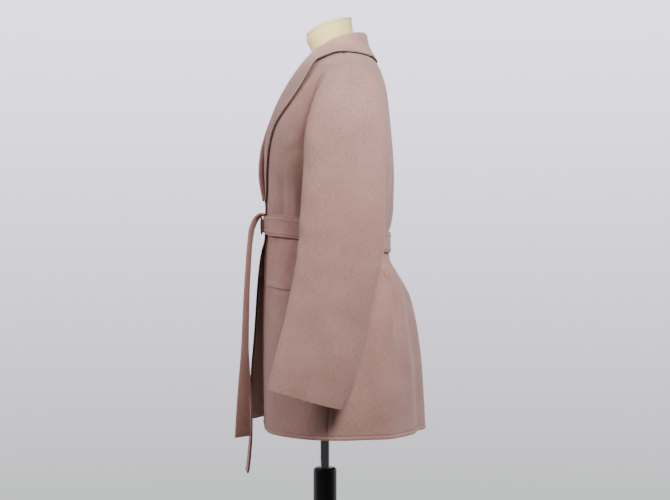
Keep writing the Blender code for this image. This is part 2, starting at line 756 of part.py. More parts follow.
def rounded(made, radius, segments=2):
    bevel = made.modifiers.new("Rounded edges", "BEVEL")
    bevel.width = radius
    bevel.segments = segments
    bevel.limit_method = "ANGLE"
    bevel.angle_limit = math.radians(60)
    shade(made)
    return made


def stand(chrome, black, collection):
    pole_bottom = POLE_SLEEVE_TOP + PART_GAP
    pole_top = FORM_BOTTOM - PART_GAP
    shade(cylinder("pole", POLE_RADIUS, pole_bottom, pole_top, 24, chrome, collection))
    sleeve_bottom = BASE_THICK + PART_GAP
    tube = cylinder(
        "pole_sleeve", POLE_SLEEVE_RADIUS, sleeve_bottom, POLE_SLEEVE_TOP, 32, black, collection
    )
    rounded(tube, POLE_SLEEVE_ROUND)
    base = cylinder("base", BASE_RADIUS, 0.0, BASE_THICK, 40, black, collection)
    rounded(base, BASE_ROUND)


def main():
    for old in list(bpy.data.objects):
        bpy.data.objects.remove(old, do_unlink=True)
    collection = bpy.data.collections.new("belted_jacket")
    bpy.context.scene.collection.children.link(collection)
    wool = finish("rose_wool", (0.42, 0.28, 0.24), 0.9)
    linen = finish("cream_cover", (0.76, 0.70, 0.55), 0.8)
    black = finish("black_metal", (0.02, 0.02, 0.022), 0.35)
    chrome = finish("chrome", (0.75, 0.75, 0.76), 0.12, 1.0)

    back(wool, collection)
    front("front_left", LEFT_EDGE, LEFT_COLLAR, 1, LEFT_BREAK, wool, collection)
    front("front_right", RIGHT_EDGE, RIGHT_COLLAR, -1, RIGHT_BREAK, wool, collection)
    sleeve("sleeve_left", 1, wool, collection)
    sleeve("sleeve_right", -1, wool, collection)
    collar_half("collar_left", LEFT_COLLAR, 1, wool, collection)
    collar_half("collar_right", RIGHT_COLLAR, -1, wool, collection)
    welt("pocket_welt_left", 1, wool, collection)
    welt("pocket_welt_right", -1, wool, collection)
    belt(wool, collection)
    knot(wool, collection)
    tie("belt_end_near", NEAR_TIE, wool, collection)
    tie("belt_end_far", FAR_TIE, wool, collection)
    form_torso(linen, collection)
    form_cap(linen, collection)
    stand(chrome, black, collection)


main()
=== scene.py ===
"""Looks of a belted wrap jacket in felted rose wool, worn by a limbless dress form on a stand.

Metres, +Z up. The wearer's front faces -X and the wearer's left side faces -Y. A place on the
cloth is (angle, height): the angle goes round the body in degrees, from 0 at the centre back
through 90 at the wearer's left side to 180 at the centre front, and below 0 on the right side.
"""

import math

import bpy
import numpy as np
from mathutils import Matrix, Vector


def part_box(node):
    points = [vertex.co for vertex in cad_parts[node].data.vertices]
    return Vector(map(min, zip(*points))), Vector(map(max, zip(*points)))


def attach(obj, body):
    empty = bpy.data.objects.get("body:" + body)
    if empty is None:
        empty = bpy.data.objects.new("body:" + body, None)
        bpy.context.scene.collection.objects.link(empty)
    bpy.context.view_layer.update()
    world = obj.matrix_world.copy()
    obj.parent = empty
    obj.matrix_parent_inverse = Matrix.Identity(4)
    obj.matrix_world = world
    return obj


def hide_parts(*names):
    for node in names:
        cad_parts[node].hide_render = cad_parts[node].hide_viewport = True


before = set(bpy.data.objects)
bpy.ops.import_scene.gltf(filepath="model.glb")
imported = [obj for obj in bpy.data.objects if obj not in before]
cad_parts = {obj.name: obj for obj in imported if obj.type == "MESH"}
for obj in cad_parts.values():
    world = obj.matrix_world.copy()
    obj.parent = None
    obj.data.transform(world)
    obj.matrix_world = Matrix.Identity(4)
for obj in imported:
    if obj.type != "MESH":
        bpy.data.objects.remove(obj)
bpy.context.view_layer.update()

# --- Stand -----------------------------------------------------------------------------------
# A weighted steel disc and an outer tube in satin black powder coat, with a polished chromed
# pole that slides in the tube. All three are turned, and the pole carries the dress form.


def surface(name, points, uv, around=False, ends=False):
    """A mesh over rows and columns of points. Face (r, c) joins four neighbours, around also
    joins the last column to the first, and ends closes the first and last rows with one face
    each. uv is the place on the cloth in metres, with one more column where it goes around."""
    rows, columns = points.shape[:2]
    number = np.arange(rows * columns).reshape(rows, columns)
    number = np.concatenate([number, number[:, :1]], axis=1) if around else number
    spread = np.arange(rows * number.shape[1]).reshape(rows, -1)

    def corners(grid):
        four = (grid[:-1, :-1], grid[:-1, 1:], grid[1:, 1:], grid[1:, :-1])
        return np.stack([corner.ravel() for corner in four], axis=1)

    quads = corners(number)
    loops, starts = quads.ravel(), np.arange(0, quads.size, 4)
    totals, flat_uv = np.full(len(quads), 4), uv.reshape(-1, 2)[corners(spread).ravel()]
    if ends:
        first, last = number[0, :columns][::-1], number[-1, :columns]
        starts = np.append(starts, [len(loops), len(loops) + columns])
        totals = np.append(totals, [columns, columns])
        loops = np.concatenate([loops, first, last])
        end_uv = np.concatenate([points[0, ::-1, :2], points[-1, :, :2]])
        flat_uv = np.concatenate([flat_uv, end_uv])
    mesh = bpy.data.meshes.new(name)
    mesh.vertices.add(rows * columns)
    mesh.vertices.foreach_set("co", points.astype(np.float32).ravel())
    mesh.loops.add(len(loops))
    mesh.loops.foreach_set("vertex_index", loops.astype(np.int32))
    mesh.polygons.add(len(starts))
    mesh.polygons.foreach_set("loop_start", starts.astype(np.int32))
    mesh.polygons.foreach_set("loop_total", totals.astype(np.int32))
    mesh.update(calc_edges=True)
    mesh.uv_layers.new(name="metres").data.foreach_set("uv", flat_uv.astype(np.float32).ravel())
    return mesh


def placed(name, data):
    """A new object in the scene that carries this data."""
    made = bpy.data.objects.new(name, data)
    bpy.context.scene.collection.objects.link(made)
    return made


def fitted(name, mesh, material, slot, *nodes, sharp=40.0):
    """The mesh as a piece of the object: shaded smooth, in its material, riding on the frame."""
    mesh.materials.append(material)
    mesh.shade_smooth()
    mesh.set_sharp_from_angle(angle=math.radians(sharp))
    piece = placed(name, mesh)
    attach(piece, "root")
    if nodes:
        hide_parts(*nodes)
    return piece


def turned(name, profile, sides):
    """Each (radius, height) of the profile carried round the upright axis through the origin."""
    radius, height = np.array(profile).T
    turn = np.linspace(0, -2 * math.pi, sides, endpoint=False)
    x, y = radius[:, None] * np.cos(turn), radius[:, None] * np.sin(turn)
    z = np.broadcast_to(height[:, None], x.shape)
    run = np.append(0.0, np.cumsum(np.hypot(np.diff(radius), np.diff(height))))
    uv = np.stack(np.meshgrid(np.linspace(0, radius.max() * 6.28, sides + 1), run), axis=-1)
    return surface(name, np.stack([x, y, z], axis=-1)[::-1], uv, around=True, ends=True)


def quarter(radius, height, size, start, steps=6):
    """Points of a quarter round of this size about (radius, height), from this angle."""
    turn = np.radians(np.linspace(start, start - 90, steps))
    return [(radius + size * math.cos(t), height + size * math.sin(t)) for t in turn]


class Wire:
    """A number out of a node. + and * each add a Math node, whose result is a Wire too."""

    def __init__(self, nodes, socket):
        self.nodes, self.socket = nodes, socket

    def math(self, operation, other):
        return self.nodes.add("ShaderNodeMath", {"operation": operation}, {0: self, 1: other})

    def __add__(self, other):
        return self.math("ADD", other)

    def __mul__(self, other):
        return self.math("MULTIPLY", other)

    __radd__, __rmul__ = __add__, __mul__


class Finish:
    """One material: its Principled shader, and the nodes that feed it."""

    def __init__(self, name, **sockets):
        self.material = bpy.data.materials.new(name)
        self.material.use_nodes = True
        self.tree = self.material.node_tree
        self.shader = self.tree.nodes["Principled BSDF"]
        self.feed(**sockets)

    def add(self, kind, settings=None, values=None, output=0):
        """A node of this type, with its settings and then the values or links of its sockets."""
        node = self.tree.nodes.new(kind)
        for name, value in (settings or {}).items():
            setattr(node, name, value)
        for key, value in (values or {}).items():
            self.join(value, node.inputs[key])
        return Wire(self, node.outputs[output])

    def join(self, value, socket):
        if isinstance(value, Wire):
            self.tree.links.new(value.socket, socket)
        else:
            socket.default_value = value

    def feed(self, **sockets):
        """Sets or links the shader's sockets, named in small letters with _ for a space."""
        by_name = {s.name.lower().replace(" ", "_"): s for s in self.shader.inputs}
        for name, value in sockets.items():
            self.join(value, by_name[name])

    def place(self, scale, of="UV"):
        """The piece's own place, UV in metres or Object, stretched by a scale for each axis."""
        where = self.add("ShaderNodeTexCoord", output={"UV": 2, "Object": 3}[of])
        return self.add("ShaderNodeMapping", {}, {"Vector": where, "Scale": scale})

    def noise(self, scale, of="UV", detail=2.0, rough=0.5):
        values = {"Vector": self.place(scale, of), "Scale": 1.0}
        return self.add("ShaderNodeTexNoise", {}, values | {"Detail": detail, "Roughness": rough})

    def mix(self, factor, low, high):
        settings = {"data_type": "RGBA"}
        return self.add("ShaderNodeMix", settings, {0: factor, 6: low, 7: high}, output=2)

    def bump(self, height, distance, strength=1.0):
        values = {"Height": height, "Distance": distance, "Strength": strength}
        return self.add("ShaderNodeBump", {}, values)


BASE_ROUND, BASE_DOME, BASE_CHAMFER, BASE_HUB = 0.005, 0.0015, 0.002, 0.002
TUBE_ROUND, TUBE_PLAY, TUBE_LIP, TUBE_CHAMFER, FOOT_RING = 0.006, 0.0003, 0.0012, 0.001, 0.004
base_low, base_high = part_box("base")
tube_low, tube_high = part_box("pole_sleeve")
pole_low, pole_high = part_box("pole")

black_coat = Finish("black_powder_coat", base_color=(0.022, 0.023, 0.024, 1), metallic=0.0)
coat_grain = black_coat.noise((900, 900, 900), of="Object", detail=2.0)
coat_wear = black_coat.noise((14, 14, 9), of="Object", detail=4.0)
black_coat.feed(roughness=0.26 + 0.16 * coat_wear, normal=black_coat.bump(coat_grain, 0.00004))
black_coat.feed(specular_ior_level=0.3)

chrome = Finish("polished_chrome", base_color=(0.80, 0.80, 0.80, 1), metallic=1.0)
chrome_haze = chrome.noise((40, 40, 6), of="Object", detail=3.0)
chrome.feed(roughness=0.05 + 0.10 * chrome_haze)

edge = base_high.x - BASE_ROUND
top = base_high.z - BASE_DOME
base_profile = [(BASE_HUB, base_high.z), (edge * 0.6, base_high.z - BASE_DOME * 0.3)]
base_profile += quarter(edge, top - BASE_ROUND, BASE_ROUND, 90)
base_profile += [(base_high.x, BASE_CHAMFER), (base_high.x - BASE_CHAMFER, 0.0)]
base_profile += [(BASE_HUB, 0.0)]

tube_edge = tube_high.x - TUBE_ROUND
tube_profile = [(pole_high.x + TUBE_PLAY, tube_high.z - TUBE_LIP)]
tube_profile += [(pole_high.x + TUBE_CHAMFER, tube_high.z)]
tube_profile += quarter(tube_edge, tube_high.z - TUBE_ROUND, TUBE_ROUND, 90, steps=9)
tube_profile += [(tube_high.x, tube_low.z + FOOT_RING)]
tube_profile += [(tube_high.x - TUBE_CHAMFER, tube_low.z)]

pole_profile = [(pole_high.x, pole_high.z), (pole_high.x, pole_low.z)]
for name, profile, sides, finish, slot, node in (
    ("stand_base", base_profile, 128, black_coat, "black_metal", "base"),
    ("stand_tube", tube_profile, 64, black_coat, "black_metal", "pole_sleeve"),
    ("stand_pole", pole_profile, 64, chrome, "chrome", "pole"),
):
    fitted(name, turned(name, profile, sides), finish.material, slot, node, sharp=60)

# --- Dress form ------------------------------------------------------------------------------
# A limbless body of moulded foam in a closely fitted cream jersey cover, with a capped neck.
# Its section is everywhere the jacket's own, drawn in, so both start from the same slices.


def table(columns, rows):
    """The rows as an array whose columns have these names."""
    return np.array(rows, dtype=[(name, float) for name in columns.split()])


def plain(rows):
    """The table as a grid of numbers, a column of the table in each of its columns."""
    return np.stack([rows[name] for name in rows.dtype.names], axis=-1)


# Horizontal slices of the worn jacket and of the neck above it: how far the cloth reaches to
# the front and back of the origin, and to each side.
SLICES = table("height front back half_width squareness", [
    (0.740, -0.1180, 0.1930, 0.249, 2.30),
    (0.800, -0.1190, 0.1900, 0.240, 2.30),
    (0.870, -0.1200, 0.1860, 0.226, 2.30),
    (0.940, -0.1200, 0.1780, 0.209, 2.30),
    (1.000, -0.1190, 0.1660, 0.191, 2.30),
    (1.040, -0.1180, 0.1540, 0.176, 2.25),
    (1.070, -0.1170, 0.1410, 0.162, 2.20),
    (1.095, -0.1150, 0.1280, 0.147, 2.15),
    (1.115, -0.1135, 0.1245, 0.138, 2.10),
    (1.1335, -0.1130, 0.1235, 0.135, 2.10),
    (1.152, -0.1130, 0.1245, 0.137, 2.10),
    (1.175, -0.1125, 0.1300, 0.143, 2.15),
    (1.210, -0.1120, 0.1345, 0.153, 2.25),
    (1.250, -0.1130, 0.1355, 0.165, 2.35),
    (1.290, -0.1125, 0.1335, 0.175, 2.40),
    (1.330, -0.1080, 0.1300, 0.183, 2.40),
    (1.370, -0.0950, 0.1260, 0.189, 2.35),
    (1.405, -0.0780, 0.1220, 0.192, 2.25),
    (1.430, -0.0630, 0.1170, 0.193, 2.15),
    (1.448, -0.0510, 0.1110, 0.190, 2.10),
    (1.458, -0.0440, 0.1070, 0.165, 2.10),
    (1.468, -0.0375, 0.1020, 0.138, 2.05),
    (1.478, -0.0320, 0.0965, 0.112, 2.00),
    (1.488, -0.0270, 0.0905, 0.088, 2.00),
    (1.496, -0.0235, 0.0860, 0.074, 2.00),
    (1.510, -0.0200, 0.0800, 0.069, 2.00),
    (1.540, -0.0170, 0.0740, 0.066, 2.00),
])
BODY_CENTRE_X = 0.03
BELT_HEIGHT, BELT_SLOPE, BELT_SLOPE_REACH = 1.1335, 0.155, 0.09

# Folds that the belt gathers in the skirt: out is how far a crest stands out, and a trough is
# below 0.
FOLDS = table("angle width top bottom out", [
    (62.0, 4.5, 1.105, 0.960, 0.0050),
    (54.5, 3.6, 1.108, 0.930, -0.0095),
    (45.0, 6.0, 1.100, 0.800, 0.0040),
    (69.0, 7.0, 1.020, 0.700, 0.0060),
    (78.5, 6.0, 1.020, 0.700, -0.0050),
    (37.0, 7.0, 1.000, 0.700, -0.0060),
    (20.0, 8.0, 1.060, 0.700, 0.0055),
    (6.0, 7.0, 1.090, 0.700, -0.0060),
    (-12.0, 8.0, 1.070, 0.700, 0.0050),
    (-29.0, 6.0, 1.100, 0.700, -0.0070),
    (-43.0, 6.5, 1.090, 0.720, 0.0055),
    (-57.0, 4.0, 1.108, 0.900, -0.0085),
    (-68.0, 6.0, 1.060, 0.700, 0.0055),
    (-84.0, 7.0, 1.000, 0.700, -0.0045),
    (-112.0, 9.0, 1.060, 0.700, 0.0050),
    (-136.0, 9.0, 1.080, 0.700, -0.0045),
    (112.0, 8.0, 1.050, 0.700, -0.0030),
    (132.0, 9.0, 1.080, 0.700, 0.0025),
])


def curve(rows, key, name, at):
    """The table's column at these keys: a cubic between neighbours whose slope at each row is
    the harmonic mean of the slopes beside it, or level at a peak, so it doesn't overshoot."""
    keys, values = rows[key], rows[name]
    rise = np.diff(values) / np.diff(keys)
    same_way = rise[:-1] * rise[1:] > 0
    total = np.where(same_way, rise[:-1] + rise[1:], 1.0)
    inner = np.where(same_way, 2 * rise[:-1] * rise[1:] / total, 0.0)
    slopes = np.concatenate([rise[:1], inner, rise[-1:]])
    at = np.clip(at, keys[0], keys[-1])
    i = np.clip(np.searchsorted(keys, at) - 1, 0, len(keys) - 2)
    step = keys[i + 1] - keys[i]
    t = (at - keys[i]) / step
    return (
        values[i] * (2 * t**3 - 3 * t**2 + 1)
        + values[i + 1] * (3 * t**2 - 2 * t**3)
        + slopes[i] * step * (t**3 - 2 * t**2 + t)
        + slopes[i + 1] * step * (t**3 - t**2)
    )


def ramp(at, start, full):
    """From 0 at start to 1 at full, level at both."""
    t = np.clip((at - start) / (full - start), 0.0, 1.0)
    return t * t * (3 - 2 * t)


def bell(at, middle, width):
    """From 1 at the middle down to 1/e at this width to each side, and on towards 0."""
    return np.exp(-(((at - middle) / width) ** 2))


def fold_height(angle, height):
    """The sum of the folds: each is a bell across its angle, faded in below its top and out
    at its bottom."""
    out = np.zeros(np.broadcast(angle, height).shape)
    for fold in FOLDS:
        away = (angle - fold["angle"] + 180) % 360 - 180
        along = ramp(height, fold["top"], fold["top"] - 0.05)
        along = along * ramp(height, fold["bottom"] - 0.05, fold["bottom"] + 0.05)
        out = out + fold["out"] * along * bell(away, 0.0, fold["width"])
    return out


def slice_point(angle, height, folded=1.0):
    """On each slice, a superellipse about the body's centre with its own depth to the front
    and to the back, pushed out by the folds. Near the belt, slices tip down to the back."""
    angle, height = np.broadcast_arrays(np.asarray(angle, float), np.asarray(height, float))
    front = BODY_CENTRE_X - curve(SLICES, "height", "front", height)
    back = curve(SLICES, "height", "back", height) - BODY_CENTRE_X
    power = curve(SLICES, "height", "squareness", height)
    turn = np.radians(angle)
    depth = np.where(np.cos(turn) > 0, back, front)
    half = curve(SLICES, "height", "half_width", height)
    sums = np.abs(np.cos(turn) / depth) ** power + np.abs(np.sin(turn) / half) ** power
    radius = sums ** (-1 / power) + folded * fold_height(angle, height)
    x = BODY_CENTRE_X + radius * np.cos(turn)
    near_belt = bell(height, BELT_HEIGHT, BELT_SLOPE_REACH)
    return np.stack([x, -radius * np.sin(turn), height - BELT_SLOPE * near_belt * x], axis=-1)


def outward(angle, height, folded=1.0):
    """The direction straight out of the slices, across steps round and up them."""
    round_step, up_step = 0.6, 0.002
    along = slice_point(angle + round_step, height, folded)
    along = along - slice_point(angle - round_step, height, folded)
    up = slice_point(angle, height + up_step, folded)
    up = up - slice_point(angle, height - up_step, folded)
    across = np.cross(up, along)
    return across / np.linalg.norm(across, axis=-1, keepdims=True)


def place(angle, height, lift, folded=1.0):
    """Points at this lift off the slices."""
    lift = np.broadcast_to(lift, np.broadcast(angle, height).shape)
    return slice_point(angle, height, folded) + outward(angle, height, folded) * lift[..., None]


def lengths(points, axis):
    """How far each point of a grid is along its row or column, by the distances between."""
    steps = np.linalg.norm(np.diff(points, axis=axis), axis=-1)
    pad = [(0, 0), (0, 0)]
    pad[axis] = (1, 0)
    return np.cumsum(np.pad(steps, pad), axis=axis)


def metres(points, around=False):
    """The place of each grid point on the flat cloth, across and up, from lengths."""
    if around:
        points = np.concatenate([points, points[:, :1]], axis=1)
    across = lengths(points, 1)
    across = across - across[:, across.shape[1] // 2][:, None]
    up = lengths(points, 0).mean(axis=1, keepdims=True)
    return np.stack([across, np.broadcast_to(up, across.shape)], axis=-1)


FORM_INSET = table("height inset", [
    (0.860, 0.075),
    (0.880, 0.052),
    (0.930, 0.045),
    (1.000, 0.032),
    (1.060, 0.018),
    (1.133, 0.009),
    (1.200, 0.013),
    (1.300, 0.014),
    (1.400, 0.014),
    (1.436, 0.016),
    (1.456, 0.008),
    (1.468, 0.0008),
    (1.486, 0.0008),
    (1.500, 0.0013),
])
FORM_TOP = 1.484
# The neck leans forward. Each ring has its middle, half depth and half width, and how much it
# rises to the back.
NECK = table("height middle half_depth half_width slope", [
    (1.497, 0.0260, 0.0530, 0.0600, 0.00),
    (1.511, 0.0165, 0.0483, 0.0520, 0.10),
    (1.527, 0.0100, 0.0463, 0.0490, 0.22),
    (1.544, 0.0080, 0.0450, 0.0475, 0.36),
])
# The cap over the cut neck: how high and how wide each ring is, how far back its middle lies.
CAP = table("rise scale back slope", [
    (0.0003, 1.000, 0.0000, 0.36),
    (0.0012, 1.014, 0.0000, 0.36),
    (0.0026, 1.012, 0.0000, 0.36),
    (0.0042, 0.985, 0.0000, 0.36),
    (0.0068, 0.900, 0.0000, 0.35),
    (0.0088, 0.800, 0.0005, 0.34),
    (0.0103, 0.680, 0.0010, 0.32),
    (0.0115, 0.520, 0.0015, 0.30),
    (0.0122, 0.360, 0.0020, 0.30),
    (0.0125, 0.180, 0.0020, 0.30),
])


def ellipse(turn, height, middle, half_depth, half_width, slope):
    """Level rings, tilted so that they rise to the back by the slope."""
    x = middle + half_depth * np.cos(turn)
    y = -half_width * np.sin(turn) * np.ones_like(x)
    return np.stack([x, y, height + slope * (x - middle)], axis=-1)


def listed(rows, name, at):
    """A table's column between its rows, smoothly, for places counted in rows."""
    keys = np.zeros(len(rows), dtype=[("row", float), (name, float)])
    keys["row"], keys[name] = np.arange(len(rows)), rows[name]
    return curve(keys, "row", name, at)


def closed(name, rings, material, slot, node, sharp=40.0):
    """A piece whose skin follows the rings, with a flat face at both ends."""
    mesh = surface(name, rings, metres(rings, around=True), around=True, ends=True)
    return fitted(name, mesh, material, slot, node, sharp=sharp)


form_low, form_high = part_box("form_torso")
turn_degrees = np.linspace(0.0, 360.0, 128, endpoint=False)[None, :]
turn_round = np.radians(turn_degrees)
body_heights = np.concatenate(
    [np.linspace(form_low.z, 1.40, 60), np.linspace(1.406, FORM_TOP, 26)]
)[:, None]
inset = np.interp(body_heights, FORM_INSET["height"], FORM_INSET["inset"])
body_rings = place(turn_degrees, body_heights, -inset, folded=0.0)
body_rings[0, :, 2] = form_low.z
neck_rows = np.linspace(0, len(NECK) - 1, 16)[:, None]
neck_shape = [listed(NECK, column, neck_rows) for column in NECK.dtype.names]
neck_rings = ellipse(turn_round, *neck_shape)
form_rings = np.concatenate([body_rings, neck_rings])

jersey = Finish("cream_jersey", roughness=0.82, sheen_weight=0.25, sheen_roughness=0.5)
jersey_rib = jersey.add(
    "ShaderNodeTexWave",
    {"bands_direction": "X", "wave_profile": "SIN"},
    {"Vector": jersey.place((1, 1, 1)), "Scale": 160.0, "Distortion": 0.6, "Detail": 1.0},
    output=1,
)
jersey_cloud = jersey.noise((9, 9, 9), detail=4.0)
jersey_fuzz = jersey.noise((1400, 900, 900), detail=1.0)
jersey.feed(
    base_color=jersey.mix(jersey_cloud, (0.86, 0.66, 0.26, 1), (0.92, 0.76, 0.36, 1)),
    normal=jersey.bump(0.5 * jersey_rib + 0.5 * jersey_fuzz, 0.00025),
)
closed("dress_form", form_rings, jersey.material, "cream_cover", "form_torso")

cap_rows = np.linspace(0, len(CAP) - 1, 28)[:, None]
cap_scale = listed(CAP, "scale", cap_rows)
cap_rings = ellipse(
    turn_round,
    NECK["height"][-1] + listed(CAP, "rise", cap_rows),
    NECK["middle"][-1] + listed(CAP, "back", cap_rows),
    cap_scale * NECK["half_depth"][-1],
    cap_scale * NECK["half_width"][-1],
    listed(CAP, "slope", cap_rows),
)
cap_cover = Finish("cap_cover", roughness=0.75, sheen_weight=0.2, sheen_roughness=0.5)
cap_fuzz = cap_cover.noise((900, 900, 900), detail=2.0)
cap_cloud = cap_cover.noise((12, 12, 12), detail=3.0)
cap_cover.feed(
    base_color=cap_cover.mix(cap_cloud, (0.86, 0.68, 0.30, 1), (0.92, 0.77, 0.40, 1)),
    normal=cap_cover.bump(cap_fuzz, 0.0002),
)
closed("neck_cap", cap_rings, cap_cover.material, "cream_cover", "form_cap", sharp=70)

# --- Back ------------------------------------------------------------------------------------
# One panel of felted double-faced wool about 2.4 mm thick, with its edges turned in and sewn by
# hand, which leaves a soft ridge along each edge. It hangs from the shoulders, and the belt
# gathers it.

CLOTH = 0.0024
SEAM_GAP = 0.0002
PANEL_LIFT = CLOTH / 2
UNDERARM, SHOULDER_TIP, NECKLINE, HEM = 1.286, 1.448, 1.4955, 0.752
ARMHOLE = table("height front rear", [
    (UNDERARM, 88.5, 88.5),
    (1.289, 101.0, 79.0),
    (1.297, 107.5, 72.5),
    (1.312, 110.0, 68.0),
    (1.335, 110.0, 64.5),
    (1.358, 107.5, 63.5),
    (1.388, 104.0, 66.0),
    (1.412, 101.5, 71.0),
    (1.430, 98.5, 76.0),
    (1.441, 94.5, 81.0),
    (SHOULDER_TIP, 86.5, 86.5),
])
SIDE_SEAM = table("height angle", [(0.74, 95.8), (UNDERARM, 88.5), (1.30, 88.5)])
SHOULDER_SEAM = table("height angle", [(1.44, 86.5), (SHOULDER_TIP, 86.5), (1.50, 88.0)])
RIDGE_RISE, RIDGE_AT, RIDGE_WIDTH = 0.0009, 0.0030, 0.0024
GROOVE_DEPTH, GROOVE_AT, GROOVE_WIDTH = 0.0011, 0.0066, 0.0013
SEAM_SINK, SEAM_WIDTH = 0.0018, 0.0026


def edge_ridge(distance):
    """The turned edge: a bell-shaped ridge beside the edge and a narrow groove inside it."""
    ridge = RIDGE_RISE * bell(distance, RIDGE_AT, RIDGE_WIDTH)
    groove = GROOVE_DEPTH * bell(distance, GROOVE_AT, GROOVE_WIDTH)
    return ridge - groove


def sewn(distance):
    """The cloth drawn in at a seam, as half a bell that is deepest at the edge."""
    return -SEAM_SINK * bell(distance, 0.0, SEAM_WIDTH)


def normals(points, around=False):
    """Unit normals of a grid, from the steps along its columns and rows."""
    if around:
        wrapped = np.concatenate([points[:, -2:], points, points[:, :2]], axis=1)
        across = np.gradient(wrapped, axis=1)[:, 2:-2]
    else:
        across = np.gradient(points, axis=1)
    up = np.gradient(points, axis=0)
    out = np.cross(across, up)
    return out / np.maximum(np.linalg.norm(out, axis=-1, keepdims=True), 1e-12)


def from_edge(points, side):
    """How far each point is from the grid's low, high, first or last edge."""
    axis = 0 if side in ("low", "high") else 1
    run = lengths(points, axis)
    if side in ("low", "first"):
        return run
    return (run[-1:] if axis == 0 else run[:, -1:]) - run


def ridged(points, sides, around=False, profile=edge_ridge):
    """The grid moved along its normals by the profile of each of these edges."""
    lift = sum(profile(from_edge(points, side)) for side in sides)
    return points + normals(points, around) * lift[..., None]


def fine_ends(count, length, band=0.012, step=0.0012, high=True):
    """Places from 0 to 1 along a length, this fine within a band at its ends and even between."""
    near = np.arange(0.0, band, step) / length
    last = 1 - near[::-1] if high else np.ones(1)
    gap = (last[0] - near[-1]) / (count + 1)
    return np.concatenate([near, np.linspace(near[-1] + gap, last[0] - gap, count), last])


def smooth_line(values, count):
    """Catmull-Rom through rows of values: each span leaves and meets its ends along the chord
    of their neighbours."""
    values = np.asarray(values, float)
    padded = np.concatenate([2 * values[:1] - values[1:2], values, 2 * values[-1:] - values[-2:-1]])
    at = np.linspace(0, len(values) - 1, count)
    i = np.clip(at.astype(int), 0, len(values) - 2)
    t = (at - i).reshape((-1,) + (1,) * (values.ndim - 1))
    before, start, end, after = (padded[i + k] for k in range(4))
    return 0.5 * (
        2 * start
        + (end - before) * t
        + (2 * before - 5 * start + 4 * end - after) * t**2
        + (3 * start - before - 3 * end + after) * t**3
    )


def armhole_line(which, count=160):
    """The armhole's front or rear as a smooth line of (height, angle), always rising."""
    line = smooth_line(np.stack([ARMHOLE["height"], ARMHOLE[which]], axis=-1), count)
    line[:, 0] = np.maximum.accumulate(np.clip(line[:, 0], UNDERARM, SHOULDER_TIP))
    return line


def seam_angle(heights, which):
    """The left side's seam with the other panel or the sleeve, for the front or the rear."""
    side = np.interp(heights, SIDE_SEAM["height"], SIDE_SEAM["angle"])
    hole = np.interp(heights, *armhole_line(which).T)
    shoulder = np.interp(heights, SHOULDER_SEAM["height"], SHOULDER_SEAM["angle"])
    angle = np.where(heights < UNDERARM, side, np.where(heights < SHOULDER_TIP, hole, shoulder))
    half_gap = np.degrees(SEAM_GAP / 2 / curve(SLICES, "height", "half_width", heights))
    return angle + half_gap * (1 if which == "front" else -1)


def panel_heights():
    """Rows of a body panel from the hem up: close at the hem, the belt and the armhole."""
    skirt = HEM + (1.03 - HEM) * fine_ends(56, 1.03 - HEM, high=False)
    waist = np.arange(1.034, 1.19, 0.0036)
    chest = np.linspace(1.194, UNDERARM - 0.002, 16)
    low_hole = UNDERARM + 0.014 * np.linspace(0, 1, 14) ** 1.5
    armhole = np.linspace(1.303, 1.430, 30)
    high_hole = SHOULDER_TIP - 0.015 * np.linspace(1, 0, 14) ** 1.5
    shoulder = np.linspace(SHOULDER_TIP + 0.0008, NECKLINE, 26)
    return np.concatenate([skirt, waist, chest, low_hole, armhole, high_hole, shoulder])


# Soft creases pressed into the panels by wear, beside the gathered folds: each runs from one
# place to another, and depth is below 0 where it is a trough.
PANEL_CREASES = table("angle_a height_a angle_b height_b width depth", [
    (141.0, 1.150, 133.0, 1.262, 0.013, -0.0048),
    (127.0, 1.152, 121.0, 1.235, 0.009, 0.0020),
    (116.0, 1.156, 113.0, 1.245, 0.010, -0.0020),
    (152.0, 1.160, 150.0, 1.250, 0.009, 0.0018),
    (158.0, 1.170, 156.0, 1.215, 0.008, 0.0016),
    (118.0, 1.290, 137.0, 1.262, 0.011, -0.0014),
    (113.0, 1.318, 124.0, 1.300, 0.009, 0.0010),
    (146.0, 1.112, 142.0, 1.060, 0.008, -0.0016),
    (128.0, 1.110, 131.0, 1.040, 0.010, 0.0014),
    (-150.0, 1.152, -144.0, 1.220, 0.010, -0.0028),
    (-138.0, 1.154, -130.0, 1.230, 0.009, 0.0020),
    (-122.0, 1.158, -120.0, 1.262, 0.012, -0.0022),
    (-119.0, 1.288, -134.0, 1.266, 0.010, -0.0013),
    (-131.0, 1.108, -128.0, 1.050, 0.009, -0.0015),
    (60.0, 1.158, 64.0, 1.245, 0.010, -0.0026),
    (47.0, 1.156, 44.0, 1.215, 0.010, 0.0020),
    (33.0, 1.157, 36.0, 1.268, 0.012, -0.0024),
    (14.0, 1.158, 12.0, 1.200, 0.010, 0.0016),
    (-4.0, 1.158, -7.0, 1.240, 0.011, -0.0020),
    (-27.0, 1.156, -24.0, 1.222, 0.010, 0.0018),
    (-42.0, 1.158, -46.0, 1.258, 0.012, -0.0026),
    (-61.0, 1.157, -66.0, 1.225, 0.009, 0.0016),
    (58.0, 1.330, 36.0, 1.312, 0.014, -0.0013),
    (-57.0, 1.345, -33.0, 1.318, 0.014, -0.0014),
    (70.0, 1.285, 58.0, 1.262, 0.010, -0.0012),
    (-71.0, 1.288, -56.0, 1.268, 0.010, -0.0012),
])
CREASE_RADIUS, PANEL_FADES = 0.155, (-0.15, 0.15, 1.25, 0.55)
